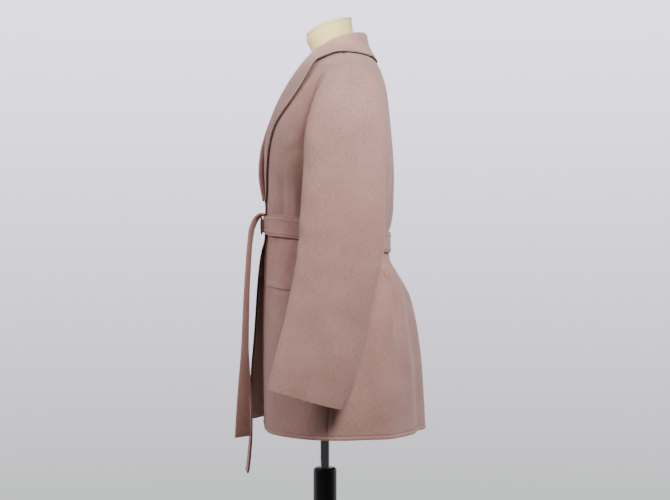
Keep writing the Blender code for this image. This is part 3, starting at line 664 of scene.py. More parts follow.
# The pleat that the belt presses into the back beside each side: a trough with a crest by it.
PLEAT = table("height angle strength", [
    (0.740, 62.0, 0.00),
    (0.900, 61.0, 0.00),
    (0.960, 59.0, 0.40),
    (1.000, 57.0, 0.75),
    (1.030, 54.5, 0.90),
    (1.060, 49.0, 0.80),
    (1.092, 36.0, 0.35),
    (1.108, 31.5, 0.00),
    (1.500, 30.0, 0.00),
])
PLEAT_CREST, PLEAT_CREST_AT, PLEAT_CREST_WIDTH = 0.0080, 3.0, 2.8
PLEAT_TROUGH, PLEAT_TROUGH_AT, PLEAT_TROUGH_WIDTH = 0.0035, -3.0, 2.4


def crease(x, y, run_x, run_y, row, fades):
    """A bell of the row's width and depth across the line from (0, 0) along the run. It comes
    in and goes out at these shares of the line's length."""
    length = math.hypot(run_x, run_y)
    along = (x * run_x + y * run_y) / length**2
    away = (x * run_y - y * run_x) / length
    fade = ramp(along, *fades[:2]) * ramp(along, *fades[2:])
    return row["depth"] * fade * bell(away, 0.0, row["width"])


def creased(angle, height):
    """The sum of the panels' creases, with angles laid out on a cylinder of one radius."""
    reach = math.radians(CREASE_RADIUS)
    out = np.zeros(np.broadcast(angle, height).shape)
    for row in PANEL_CREASES:
        x, y = (angle - row["angle_a"]) * reach, height - row["height_a"]
        run_x = (row["angle_b"] - row["angle_a"]) * reach
        run_y = row["height_b"] - row["height_a"]
        out = out + crease(x, y, run_x, run_y, row, PANEL_FADES)
    return out


def pleated(angle, height):
    """A bell-shaped crest less a narrower one for the trough, alike on both sides."""
    away = np.abs(angle) - curve(PLEAT, "height", "angle", height)
    crest = PLEAT_CREST * bell(away, PLEAT_CREST_AT, PLEAT_CREST_WIDTH)
    trough = PLEAT_TROUGH * bell(away, PLEAT_TROUGH_AT, PLEAT_TROUGH_WIDTH)
    return curve(PLEAT, "height", "strength", height) * (crest - trough)


def shell(name, points, thick, node, around=False):
    """Wool of this thickness half to each side of a grid, with its cut edges rounded."""
    mesh = surface(name, points, metres(points, around), around=around)
    piece = fitted(name, mesh, rose_wool, "rose_wool", node, sharp=180)
    wall = piece.modifiers.new("Cloth", "SOLIDIFY")
    wall.thickness = thick
    wall.offset = 0.0
    wall.use_even_offset = False
    wall.use_quality_normals = True
    soft = piece.modifiers.new("Turned edge", "BEVEL")
    soft.width = thick * 0.42
    soft.segments = 3
    soft.limit_method = "ANGLE"
    soft.angle_limit = math.radians(62)
    soft.use_clamp_overlap = True
    return piece


ROSE = (0.535, 0.298, 0.251)


def wool_finish(name):
    """Felted wool: long level streaks of the brushed nap, mottled dye and single pale and dark
    fibres in the colour, and the same streaks as a fine bump."""
    wool = Finish(name, roughness=0.92, sheen_weight=0.35, sheen_roughness=0.45)
    wool.feed(sheen_tint=(1.0, 0.86, 0.80, 1), specular_ior_level=0.25)
    nap = wool.noise((150, 620, 1), detail=3.0, rough=0.66)
    fine = wool.noise((420, 1500, 1), detail=2.0, rough=0.6)
    cloud = wool.noise((11, 17, 1), detail=3.0, rough=0.55)
    fibres = wool.noise((420, 2600, 1), detail=1.0)
    low, high, pale = (
        tuple(c * k for c, k in zip(ROSE, shade)) + (1,)
        for shade in ((0.78, 0.76, 0.76), (1.20, 1.22, 1.24), (1.45, 1.55, 1.62))
    )
    tone = 0.55 * nap + 0.30 * cloud + 0.15 * fine
    spread = wool.add("ShaderNodeMapRange", {}, {0: tone, 1: 0.36, 2: 0.64})
    stray = wool.add("ShaderNodeMapRange", {}, {0: fibres, 1: 0.66, 2: 0.80, 3: 0.0, 4: 0.55})
    wool.feed(base_color=wool.mix(stray, wool.mix(spread, low, high), pale))
    wool.feed(normal=wool.bump(0.5 * nap + 0.35 * fine + 0.15 * fibres, 0.0013, 0.9))
    return wool.material


rose_wool = wool_finish("rose_wool")

heights = panel_heights()
rear = seam_angle(heights, "rear")
across = fine_ends(150, 0.50)
angles = rear[:, None] * (1 - 2 * across)[None, :]
back_lift = PANEL_LIFT + creased(angles, heights[:, None]) + pleated(angles, heights[:, None])
back_points = place(angles, heights[:, None], back_lift)
back_points = ridged(back_points, ["low"])
back_points = ridged(back_points, ["first", "last"], profile=sewn)
back_piece = shell("jacket_back", back_points, CLOTH, "back")

# --- Fronts ----------------------------------------------------------------------------------
# Two panels of the same wool, from the side seam to a hand-sewn free edge. The wearer's right
# front laps over the left at the waist and flares open below the belt, and both roll into the
# lapel above their break.

LEFT_BREAK, RIGHT_BREAK, ROLL_GAP, COLLAR_SIDE_ANGLE = 1.181, 1.180, 0.8, 98.6
LAP_LIFT, LAP_START, LAP_FULL = CLOTH + 0.0014, 150.0, 166.0
CORNER_RISE = 0.008
LEFT_EDGE = table("height short", [
    (0.740, 0.032),
    (0.800, 0.028),
    (0.950, 0.018),
    (1.050, 0.010),
    (1.120, 0.005),
    (LEFT_BREAK, 0.006),
])
RIGHT_EDGE = table("height short", [
    (0.740, 0.052),
    (0.850, 0.036),
    (0.950, 0.020),
    (1.040, 0.000),
    (1.080, -0.008),
    (1.120, -0.016),
    (1.160, -0.016),
    (RIGHT_BREAK, -0.012),
])
RIGHT_FLARE = table("height out start full", [
    (0.740, 0.034, 105, 150),
    (0.800, 0.030, 105, 150),
    (0.870, 0.0235, 105, 150),
    (0.940, 0.0165, 105, 150),
    (1.040, 0.0095, 110, 155),
    (1.085, 0.004, 120, 165),
    (1.104, 0.000, 130, 168),
    (1.168, 0.000, 140, 170),
    (1.190, 0.0025, 140, 170),
    (1.215, 0.0050, 140, 170),
    (1.250, 0.0065, 135, 168),
    (1.290, 0.005, 130, 165),
    (1.340, 0.001, 130, 165),
    (1.400, 0.000, 130, 165),
])
# Sections of the shawl collar, from the centre back to the break of its lapel: the seam it is
# sewn to, the top of the roll and the outer edge, and how far the fall stands off there.
COLLAR_COLUMNS = (
    "seam_angle seam_height roll_angle roll_height edge_angle edge_height fall_lift edge_lift"
)
COLLAR_NECK = [
    (0.0, 1.4965, 0.0, 1.530, 0.0, 1.4740, 0.0070, 0.0052),
    (30.0, 1.4965, 30.0, 1.529, 31.0, 1.4745, 0.0070, 0.0052),
    (58.0, 1.4965, 58.0, 1.526, 61.0, 1.4755, 0.0070, 0.0056),
    (82.0, 1.4965, 83.0, 1.519, 87.0, 1.4755, 0.0075, 0.0060),
    (98.0, 1.4965, 101.0, 1.510, 97.0, 1.4680, 0.0080, 0.0070),
    (108.0, 1.4925, 113.0, 1.499, 103.0, 1.4535, 0.0088, 0.0095),
    (121.0, 1.4780, 126.0, 1.483, 108.0, 1.4320, 0.0088, 0.0090),
    (133.0, 1.4600, 137.0, 1.465, 114.0, 1.4090, 0.0082, 0.0068),
    (142.0, 1.4420, 145.5, 1.447, 121.0, 1.3860, 0.0080, 0.0062),
    (151.0, 1.4180, 154.0, 1.422, 129.5, 1.3640, 0.0080, 0.0062),
    (160.0, 1.3880, 162.5, 1.391, 137.8, 1.3440, 0.0078, 0.0060),
]
LEFT_COLLAR = table(COLLAR_COLUMNS, [
    *COLLAR_NECK,
    (166.0, 1.3580, 168.0, 1.360, 144.5, 1.3230, 0.0076, 0.0058),
    (170.5, 1.3300, 172.0, 1.331, 149.5, 1.2990, 0.0074, 0.0058),
    (173.0, 1.2980, 174.6, 1.299, 154.8, 1.2710, 0.0072, 0.0058),
    (174.8, 1.2640, 176.2, 1.265, 159.8, 1.2430, 0.0070, 0.0056),
    (175.8, 1.2310, 177.0, 1.232, 164.8, 1.2170, 0.0068, 0.0054),
    (176.2, 1.2030, 177.2, 1.204, 169.5, 1.1970, 0.0064, 0.0052),
    (176.4, 1.1865, 177.2, 1.187, 174.0, 1.1850, 0.0060, 0.0050),
])
RIGHT_COLLAR = table(COLLAR_COLUMNS, [
    *COLLAR_NECK,
    (166.0, 1.3580, 168.0, 1.360, 144.5, 1.3220, 0.0078, 0.0058),
    (169.5, 1.3300, 171.5, 1.331, 149.5, 1.2960, 0.0082, 0.0058),
    (173.0, 1.2980, 175.0, 1.299, 155.0, 1.2660, 0.0090, 0.0058),
    (176.5, 1.2640, 178.5, 1.265, 161.0, 1.2370, 0.0094, 0.0056),
    (180.0, 1.2310, 181.6, 1.232, 168.0, 1.2120, 0.0086, 0.0054),
    (182.6, 1.2030, 183.6, 1.204, 175.5, 1.1940, 0.0070, 0.0050),
    (184.4, 1.1860, 184.9, 1.187, 182.0, 1.1840, 0.0054, 0.0048),
])


def lap(angle, height):
    """How far the right front's middle lies outside the cloth of the left front."""
    over = LAP_LIFT * ramp(angle, LAP_START, LAP_FULL)
    flare, start, full = (
        curve(RIGHT_FLARE, "height", name, height) for name in ("out", "start", "full")
    )
    return over + flare * ramp(angle, start, full)


def angle_past(short, height):
    """The angle at which a slice is this far short of the centre front, by halving."""
    low, high = np.full(len(height), 95.0), np.full(len(height), 215.0)
    for _ in range(24):
        middle = (low + high) / 2
        beyond = -slice_point(middle, height)[:, 1] > short
        low, high = np.where(beyond, middle, low), np.where(beyond, high, middle)
    return middle


def roll_seam(collar, at):
    """The angle of the collar's seam at each height, up the lapel from its break."""
    seam = collar[::-1]
    seam = seam[seam["seam_height"] < NECKLINE]
    angle = curve(seam, "seam_height", "seam_angle", at)
    blend = ramp(at, seam["seam_height"][-1], NECKLINE)
    return angle + (COLLAR_SIDE_ANGLE - angle) * blend


def front(name, free_edge, collar, side, break_height, node):
    """One front, between its seams and its free edge below and the lapel's roll above."""
    outer = seam_angle(heights, "front")
    free = angle_past(curve(free_edge, "height", "short", heights), heights)
    rolled = roll_seam(collar, heights) - ROLL_GAP
    share = ramp(heights, break_height - 0.006, break_height + 0.004)
    inner = free + (rolled - free) * share
    steps = fine_ends(64, 0.24)
    turned_to = outer[:, None] + (inner - outer)[:, None] * steps[None, :]
    corner = ramp(steps, 0.80, 1.0)[None, :] * ramp(heights, HEM + 0.05, HEM)[:, None]
    rows = heights[:, None] + CORNER_RISE * corner
    lift = PANEL_LIFT + creased(side * turned_to, rows)
    lift = lift + (lap(turned_to, rows) if side < 0 else 0.0)
    points = place(side * turned_to, rows, lift)
    below = ramp(heights, break_height + 0.02, break_height - 0.02)[:, None]
    ridge = edge_ridge(from_edge(points, "low")) + below * edge_ridge(from_edge(points, "last"))
    ridge = ridge + sewn(from_edge(points, "first"))
    points = points - side * normals(points) * ridge[..., None]
    piece = shell(name, points, CLOTH, node)
    return points


left_points = front("jacket_front_left", LEFT_EDGE, LEFT_COLLAR, 1, LEFT_BREAK, "front_left")
right_points = front(
    "jacket_front_right", RIGHT_EDGE, RIGHT_COLLAR, -1, RIGHT_BREAK, "front_right"
)

# --- Sleeves ---------------------------------------------------------------------------------
# Set-in sleeves of the same wool, cut in one with a seam down the back of the arm. The head is
# eased into the armhole with the seam pressed flat, and the cuff is turned in by hand.

SLEEVE_GAP = 0.0009
ARMHOLE_MIDDLE = (87.0, 1.365)
SLEEVE_RINGS = table("in_side in_height out_side out_height front_x rear_x drop", [
    (0.1850, 1.279, 0.2150, 1.4450, -0.015, 0.108, 0.00),
    (0.1885, 1.271, 0.2350, 1.4270, -0.022, 0.112, 0.00),
    (0.1915, 1.262, 0.2500, 1.3880, -0.0305, 0.113, 0.00),
    (0.1940, 1.250, 0.2590, 1.3360, -0.036, 0.113, 0.00),
    (0.1960, 1.233, 0.2635, 1.2750, -0.037, 0.112, 0.00),
    (0.1980, 1.200, 0.2665, 1.2150, -0.040, 0.112, 0.00),
    (0.2005, 1.150, 0.2690, 1.1550, -0.043, 0.111, 0.02),
    (0.2040, 1.100, 0.2720, 1.1000, -0.046, 0.107, 0.08),
    (0.2090, 1.050, 0.2760, 1.0500, -0.053, 0.096, 0.16),
    (0.2150, 1.000, 0.2810, 1.0000, -0.062, 0.084, 0.22),
    (0.2240, 0.950, 0.2880, 0.9500, -0.072, 0.070, 0.26),
    (0.2350, 0.890, 0.2970, 0.8900, -0.087, 0.053, 0.28),
    (0.2440, 0.831, 0.3040, 0.8310, -0.101, 0.032, 0.28),
])
SLEEVE_ROWS, SLEEVE_COLUMNS, SLEEVE_SQUARENESS = 210, 132, 0.92
# Soft creases of the hanging sleeve. The turn is 0 on the outside of the arm, 90 at its back
# and -90 at its front, and down is from the first of the rings above, in rings.
SLEEVE_CREASES = table("turn_a down_a turn_b down_b width depth", [
    (-62.0, 1.2, -20.0, 2.6, 0.016, -0.0012),
    (-78.0, 2.6, -38.0, 3.8, 0.012, -0.0016),
    (-84.0, 3.7, -52.0, 4.7, 0.010, 0.0012),
    (-88.0, 5.9, -45.0, 6.6, 0.014, -0.0016),
    (-92.0, 6.9, -58.0, 7.4, 0.012, -0.0014),
    (62.0, 6.3, 95.0, 7.0, 0.013, -0.0014),
    (70.0, 7.3, 98.0, 7.9, 0.012, -0.0012),
    (84.0, 2.4, 52.0, 3.6, 0.013, -0.0014),
    (140.0, 2.2, 178.0, 3.2, 0.012, -0.0030),
    (150.0, 3.6, 190.0, 4.3, 0.012, -0.0024),
    (215.0, 2.4, 185.0, 3.5, 0.012, -0.0028),
    (-30.0, 9.2, 18.0, 10.3, 0.018, -0.0010),
])
SLEEVE_RADIUS, SLEEVE_STEP, SLEEVE_FADES = 0.060, 0.045, (-0.2, 0.25, 1.3, 0.6)
BACK_SEAM_TURN, BACK_SEAM_DEPTH, BACK_SEAM_WIDTH = 68.0, 0.0009, 2.4
HEAD_ROLL, HEAD_ROLL_AT, HEAD_ROLL_WIDTH = 0.0024, 0.0055, 0.0030


def line_lengths(points):
    """How far along a line each of its points is, by the distances between."""
    return np.append(0.0, np.cumsum(np.linalg.norm(np.diff(points, axis=0), axis=1)))


def armhole_loop(shrink, lift, side):
    """Evenly spaced points round the armhole from the shoulder, drawn in within the body's
    surface and then lifted off it."""
    first, second = armhole_line("front"), armhole_line("rear")[-2:0:-1]
    loop = np.concatenate([first, second])
    loop = np.roll(loop, 1 - len(first), axis=0)
    loop = np.concatenate([loop, loop[:1]])
    length = line_lengths(slice_point(loop[:, 1], loop[:, 0]))
    even = np.linspace(0.0, length[-1], SLEEVE_COLUMNS, endpoint=False)
    angle, height = np.interp(even, length, loop[:, 1]), np.interp(even, length, loop[:, 0])
    middle = slice_point(*ARMHOLE_MIDDLE)
    share = 1 - shrink / np.linalg.norm(slice_point(angle, height) - middle, axis=-1)
    angle = ARMHOLE_MIDDLE[0] + (angle - ARMHOLE_MIDDLE[0]) * share
    height = ARMHOLE_MIDDLE[1] + (height - ARMHOLE_MIDDLE[1]) * share
    return place(side * angle, height, lift)


def signed_power(values, power):
    """Each value's size raised to this power, with the value's sign."""
    return np.sign(values) * np.abs(values) ** power


def sleeve_ring(ring, side):
    """A tilted oval between the sleeve's near and far side and its front and back."""
    turn = np.linspace(0, 2 * math.pi, SLEEVE_COLUMNS, endpoint=False)
    half_x = (ring["rear_x"] - ring["front_x"]) / 2
    middle_x = (ring["rear_x"] + ring["front_x"]) / 2
    reach = signed_power(np.cos(turn), SLEEVE_SQUARENESS)
    x = middle_x + half_x * np.sin(turn)
    out = (ring["out_side"] + ring["in_side"] + reach * (ring["out_side"] - ring["in_side"])) / 2
    high = ring["out_height"] + ring["in_height"]
    z = (high + reach * (ring["out_height"] - ring["in_height"])) / 2
    return np.stack([x, -side * out, z - ring["drop"] * (x - middle_x)], axis=-1)


def sleeve(name, side, node):
    """One smooth skin from the armhole's loops through the rings to the cuff, then its creases,
    its seams and the roll of its head."""
    inside = CLOTH / 2 + SLEEVE_GAP
    head = [armhole_loop(inside, 0.0010, side), armhole_loop(inside, 0.0030, side)]
    head += [armhole_loop(0.0002, 0.0072, side)]
    rings = np.stack(head + [sleeve_ring(ring, side) for ring in SLEEVE_RINGS])
    points = smooth_line(rings, SLEEVE_ROWS)
    down = np.linspace(0, len(rings) - 1, SLEEVE_ROWS)[:, None] - len(head)
    degrees = np.linspace(0, 360, SLEEVE_COLUMNS, endpoint=False)[None, :]
    reach = math.radians(SLEEVE_RADIUS)
    lift = np.zeros((SLEEVE_ROWS, SLEEVE_COLUMNS))
    for row in SLEEVE_CREASES:
        x = ((degrees - row["turn_a"] + 180) % 360 - 180) * reach
        y = (down - row["down_a"]) * SLEEVE_STEP
        run_x = (row["turn_b"] - row["turn_a"]) * reach
        run_y = (row["down_b"] - row["down_a"]) * SLEEVE_STEP
        lift = lift + crease(x, y, run_x, run_y, row, SLEEVE_FADES)
    seam = bell(degrees, BACK_SEAM_TURN, BACK_SEAM_WIDTH)
    lift = lift - BACK_SEAM_DEPTH * seam * ramp(down, 0.0, 0.6)
    lift = lift + edge_ridge(from_edge(points, "high"))
    from_head = from_edge(points, "low")
    lift = lift + HEAD_ROLL * bell(from_head, HEAD_ROLL_AT, HEAD_ROLL_WIDTH) + sewn(from_head)
    points = points + side * normals(points, around=True) * lift[..., None]
    piece = shell(name, points, CLOTH, node, around=True)


sleeve("jacket_sleeve_left", 1, "sleeve_left")
sleeve("jacket_sleeve_right", -1, "sleeve_right")

# --- Shawl collar ----------------------------------------------------------------------------
# Two mirrored halves joined at the centre back. Each stands at the neck, rolls over and falls
# to a hand-sewn outer edge, and runs on as a lapel down to the break above the belt.

COLLAR_BACK_GAP, COLLAR_RIDGE = 0.05, 0.8
COLLAR_ROWS, COLLAR_ACROSS = 170, 44


def collar_half(name, rows, side, node):
    """Places between seam, roll and outer edge at each section, then one smooth line through
    them from the seam over the roll to the edge."""
    sections = smooth_line(plain(rows), COLLAR_ROWS)
    along = {column: sections[:, i, None] for i, column in enumerate(rows.dtype.names)}

    def between(first, second, share, part):
        start, end = along[f"{first}_{part}"], along[f"{second}_{part}"]
        return start + (end - start) * share

    stand, fall = np.array([[0.0, 0.45, 0.9]]), np.array([[0.06, 0.25, 0.5, 0.75, 1.0]])
    angle, height = (
        np.concatenate(
            [
                between("seam", "roll", stand, part),
                along[f"roll_{part}"],
                between("roll", "edge", fall, part),
            ],
            axis=1,
        )
        for part in ("angle", "height")
    )
    top = along["fall_lift"]
    lift = np.concatenate(
        [
            PANEL_LIFT + 0.0 * stand + 0.0 * top,
            (PANEL_LIFT + top) / 2,
            top + (along["edge_lift"] - top) * fall,
        ],
        axis=1,
    )
    lift = lift + (lap(angle, height) if side < 0 else 0.0)
    angle[0] = angle[0] + COLLAR_BACK_GAP
    coarse = place(side * angle, height, lift)
    points = smooth_line(coarse.transpose(1, 0, 2), COLLAR_ACROSS).transpose(1, 0, 2)
    ridge = edge_ridge(from_edge(points, "last")) * COLLAR_RIDGE
    points = points + side * normals(points) * ridge[..., None]
    piece = shell(name, points, CLOTH, node)
    return points


left_collar_points = collar_half("jacket_collar_left", LEFT_COLLAR, 1, "collar_left")
right_collar_points = collar_half("jacket_collar_right", RIGHT_COLLAR, -1, "collar_right")

# --- Bead trim -------------------------------------------------------------------------------
# Small faceted gunmetal beads, sewn in a row along the collar's outer edge and in two along
# both free edges below the belt, with one more row inside the right front's edge.

BEAD_RADIUS, BEAD_PITCH, BEAD_ROW_STEP, BEAD_TURN = 0.0012, 0.0028, 0.0018, 2.4
BEAD_WAIST, BEAD_SHOULDER, BEAD_TIP = 0.92, 0.42, 0.95
FRONT_BEADS_TOP, FRONT_BEADS_LOW = 1.09, HEM + 0.002


def bead_rows(name, edge_points, edge_out, rows):
    """A six-sided bead at each step of a line, in rows beside each other along a direction,
    and each turned by the same angle from the one before."""
    run = line_lengths(edge_points)
    count = int(run[-1] / BEAD_PITCH)
    centres = []
    for row in range(rows):
        at = (np.arange(count) + 0.5 * (row % 2)) * run[-1] / count
        middle, way = (
            np.stack([np.interp(at, run, values[:, k]) for k in range(3)], axis=-1)
            for values in (edge_points, edge_out)
        )
        centres.append(middle + way * (row - (rows - 1) / 2) * BEAD_ROW_STEP)
    centres = np.concatenate(centres)
    turn = np.arange(6) * math.pi / 3
    ring = np.stack([np.cos(turn), np.sin(turn), 0 * turn], axis=-1) * BEAD_WAIST
    low, high = ring + [0, 0, -BEAD_SHOULDER], ring + [0, 0, BEAD_SHOULDER]
    bead = np.concatenate([low, high, [[0, 0, -BEAD_TIP], [0, 0, BEAD_TIP]]]) * BEAD_RADIUS
    here = np.arange(6)
    after, bottom, top = (here + 1) % 6, 12 + 0 * here, 13 + 0 * here
    corners = [(here, after, after + 6), (here, after + 6, here + 6)]
    corners += [(after, here, bottom), (here + 6, after + 6, top)]
    faces = np.concatenate([np.stack(three, 1) for three in corners])
    tilt = np.arange(len(centres)) * BEAD_TURN
    cos, sin = np.cos(tilt), np.sin(tilt)
    spun = np.stack(
        [
            bead[None, :, 0] * cos[:, None] - bead[None, :, 2] * sin[:, None],
            np.broadcast_to(bead[None, :, 1], (len(tilt), len(bead))),
            bead[None, :, 0] * sin[:, None] + bead[None, :, 2] * cos[:, None],
        ],
        axis=-1,
    )
    points = centres[:, None] + spun
    numbers = faces[None] + (np.arange(len(centres)) * len(bead))[:, None, None]
    mesh = bpy.data.meshes.new(name)
    mesh.from_pydata(points.reshape(-1, 3).tolist(), [], numbers.reshape(-1, 3).tolist())
    return mesh


gunmetal = Finish("gunmetal_bead", metallic=0.85, roughness=0.22)
bead_noise = gunmetal.noise((500, 500, 500), of="Object", detail=0.0)
bead_tone = gunmetal.add("ShaderNodeMapRange", {}, {0: bead_noise, 1: 0.50, 2: 0.66})
gunmetal.feed(base_color=gunmetal.mix(bead_tone, (0.012, 0.010, 0.009, 1), (0.62, 0.59, 0.56, 1)))


# Each line of beads follows the last column of a grid, out past its edge and sunk into its face.
whole = slice(None)
below_belt = (heights < FRONT_BEADS_TOP) & (heights > FRONT_BEADS_LOW)
for name, grid, keep, out, sink, side, rows in (
    ("collar_beads_left", left_collar_points, whole, 0.0008, 0.0004, 1, 1),
    ("collar_beads_right", right_collar_points, whole, 0.0008, 0.0004, -1, 1),
    ("front_beads_left", left_points, below_belt, 0.0009, 0.0, -1, 2),
    ("front_beads_right", right_points, below_belt, 0.0009, 0.0, 1, 2),
    ("front_beads_inside", right_points, below_belt, -0.0041, 0.0024, 1, 1),
):
    line, way = grid[keep, -1], side * normals(grid)[keep, -1]
    outer = line - grid[keep, -2]
    outer = outer / np.linalg.norm(outer, axis=1, keepdims=True)
    mesh = bead_rows(name, line + outer * out - way * sink, way, rows)
    fitted(name, mesh, gunmetal.material, None, sharp=20)

# --- Pocket welts ----------------------------------------------------------------------------
# A slim folded welt at each pocket's mouth, padded by its own turnings, sewn flat on the front.

WELT_HEIGHT, WELT_GAP, WELT_THICK, WELT_CROWN = 0.010, 0.0008, 0.0016, 0.0011
WELT = table("angle height", [(150.0, 1.0315), (125.0, 1.0265), (101.0, 1.0220)])

for name, side, rests_on in (
    ("pocket_welt_left", 1, "jacket_front_left"),
    ("pocket_welt_right", -1, "jacket_front_right"),
):
    steps = fine_ends(40, 0.11, band=0.006)
    keys = np.linspace(0.0, 1.0, len(WELT))
    welt_angle = np.interp(steps, keys, WELT["angle"])[None, :]
    welt_middle = np.interp(steps, keys, WELT["height"])[None, :]
    rise = np.linspace(-0.5, 0.5, 15)[:, None]
    crown = WELT_CROWN * (1 - (2 * rise) ** 4) * np.ones_like(welt_angle)
    lift = PANEL_LIFT + CLOTH / 2 + WELT_GAP + WELT_THICK / 2 + crown
    lift = lift + (lap(welt_angle, welt_middle) if side < 0 else 0.0)
    points = place(side * welt_angle, welt_middle + WELT_HEIGHT * rise, lift)
    piece = shell(name + "_cloth", points, WELT_THICK, name)

# --- Belt ------------------------------------------------------------------------------------
# A double layer of the wool turned out flat, with the same hand-sewn ridge along both edges. It
# goes once round the waist, passes through itself at the front and hangs in two ends.

BELT_WIDTH, BELT_WIDTH_AT_KNOT, BELT_THICK, BELT_GAP = 0.043, 0.030, 0.0034, 0.0012
BELT_COLUMNS, BELT_BOW = 320, 0.0008
BELT_STAND_OFF, STAND_OFF_AT, STAND_OFF_WIDTH = 0.0035, 137, 14
belt_angle = np.linspace(0.0, 360.0, BELT_COLUMNS, endpoint=False)[None, :]
round_front = np.abs((belt_angle + 180) % 360 - 180)
over_lap = LAP_LIFT * ramp(round_front, LAP_START - 12, LAP_FULL - 8)
belt_width = BELT_WIDTH + (BELT_WIDTH_AT_KNOT - BELT_WIDTH) * ramp(round_front, 150.0, 176.0)
share = fine_ends(10, BELT_WIDTH, band=0.010, step=0.001)[:, None] - 0.5
belt_heights = BELT_HEIGHT + belt_width * share
bow = BELT_BOW * np.cos(math.pi * share)
stand_off = bell(belt_angle, STAND_OFF_AT, STAND_OFF_WIDTH) * (0.5 - share) ** 2
belt_lift = CLOTH + BELT_GAP + BELT_THICK / 2 + over_lap + bow + BELT_STAND_OFF * stand_off
belt_points = place(belt_angle, belt_heights, belt_lift, folded=0.0)
belt_points = ridged(belt_points, ["low", "high"], around=True)
belt_piece = shell("belt_round", belt_points, BELT_THICK, "belt", around=True)

TIE_COLUMNS, TIE_WIDTH, TIE_ROWS, KNOT_SQUARENESS = "x y z turn width", 0.042, 170, 0.8
NEAR_TIE = table(TIE_COLUMNS, [
    (-0.1205, -0.0240, 1.1706, 4.0, 0.024),
    (-0.1278, -0.0262, 1.1699, 10.0, 0.026),
    (-0.1355, -0.0285, 1.1622, 15.0, 0.028),
    (-0.1408, -0.0310, 1.1508, 14.0, 0.031),
    (-0.1450, -0.0335, 1.1370, 11.0, 0.034),
    (-0.1477, -0.0375, 1.1150, 7.5, 0.037),
    (-0.1500, -0.0430, 1.0850, 6.0, 0.040),
    (-0.1540, -0.0460, 1.0000, 9.0, 0.042),
    (-0.1570, -0.0480, 0.9000, 14.0, 0.042),
    (-0.1595, -0.0490, 0.8200, 26.0, 0.042),
    (-0.1610, -0.0490, 0.7330, 40.0, 0.042),
])
FAR_TIE = table(TIE_COLUMNS, [
    (-0.1199, 0.0040, 1.1700, 0.0, 0.024),
    (-0.1264, 0.0045, 1.1699, 0.0, 0.026),
    (-0.1337, 0.0055, 1.1630, 0.0, 0.028),
    (-0.1400, 0.0060, 1.1526, 0.0, 0.031),
    (-0.1447, 0.0068, 1.1385, 0.0, 0.034),
    (-0.1482, 0.0075, 1.1150, -1.0, 0.037),
    (-0.1505, 0.0085, 1.0850, -2.0, 0.040),
    (-0.1545, 0.0085, 1.0000, -3.0, 0.042),
    (-0.1560, 0.0085, 0.9200, -4.0, 0.042),
    (-0.1535, 0.0080, 0.8600, -5.0, 0.042),
    (-0.1490, 0.0070, 0.7900, -6.0, 0.042),
    (-0.1485, 0.0065, 0.7350, -7.0, 0.042),
    (-0.1515, 0.0060, 0.6900, -8.0, 0.042),
    (-0.1555, 0.0060, 0.6560, -8.0, 0.042),
])
KNOT = table("y x z depth height", [
    (-0.0350, -0.1220, 1.1480, 0.0024, 0.020),
    (-0.0310, -0.1234, 1.1480, 0.0036, 0.029),
    (-0.0220, -0.1252, 1.1480, 0.0044, 0.034),
    (-0.0100, -0.1266, 1.1480, 0.0048, 0.035),
    (0.0020, -0.1266, 1.1480, 0.0044, 0.033),
    (0.0080, -0.1260, 1.1480, 0.0034, 0.026),
    (0.0110, -0.1255, 1.1480, 0.0026, 0.018),
])


def tie(name, rows, node):
    """A band of the table's width about its line, turned about the upright as it falls."""
    line = smooth_line(plain(rows), TIE_ROWS)
    middle, turn, width = line[:, None, :3], np.radians(line[:, 3]), line[:, 4]
    face = np.stack([np.sin(turn), np.cos(turn), 0 * turn], axis=-1)[:, None, :]
    share = fine_ends(8, TIE_WIDTH, band=0.010, step=0.001)[None, :, None] - 0.5
    points = middle + face * share * width[:, None, None]
    points = ridged(ridged(points, ["first", "last"]), ["high"])
    piece = shell(name, points, BELT_THICK, node)


tie("belt_tie_near", NEAR_TIE, "belt_end_near")
tie("belt_tie_far", FAR_TIE, "belt_end_far")

turn = np.linspace(0, 2 * math.pi, 72, endpoint=False)[None, :]
knot_rows = np.linspace(0, len(KNOT) - 1, 60)[:, None]
knot_y, knot_x, knot_z, knot_depth, knot_height = (
    listed(KNOT, name, knot_rows) for name in KNOT.dtype.names
)
knot_x = knot_x + knot_depth / 2 * signed_power(np.cos(turn), KNOT_SQUARENESS)
knot_z = knot_z + knot_height / 2 * signed_power(np.sin(turn), KNOT_SQUARENESS)
knot_points = np.stack([knot_x, knot_y + 0 * knot_x, knot_z], axis=-1)
closed("belt_knot_cloth", knot_points, rose_wool, "rose_wool", "belt_knot", sharp=60)

# --- Room, light and camera --------------------------------------------------------------------
# A pale studio: a round pale floor, a lit wall behind the form that is brighter to the top, soft
# lamps above the near shoulder, in front and over the camera, and weaker ones to the rear.

FLOOR_RADIUS, FLOOR_HUB, FLOOR_TOP, FLOOR_BOTTOM = 2.6, 0.01, -0.001, -0.01
floor_profile = [(FLOOR_HUB, FLOOR_TOP), (FLOOR_RADIUS, FLOOR_TOP)]
floor_profile += [(FLOOR_RADIUS, FLOOR_BOTTOM), (FLOOR_HUB, FLOOR_BOTTOM)]
floor_mesh = turned("studio_floor", floor_profile, 96)
pale_floor = Finish("pale_floor", base_color=(0.30, 0.31, 0.32, 1), roughness=0.7)
floor_mesh.materials.append(pale_floor.material)
placed("studio_floor", floor_mesh)


class Sky(Finish):
    """The world's own nodes, which feed its Background shader."""

    def __init__(self, name):
        self.world = bpy.data.worlds.new(name)
        self.world.use_nodes = True
        self.tree = self.world.node_tree
        self.shader = self.tree.nodes["Background"]

    def part(self, value, low, high, start=0.0, full=1.0):
        """The value carried from low..high to start..full, and held past both."""
        return self.add("ShaderNodeMapRange", {}, {0: value, 1: low, 2: high, 3: start, 4: full})


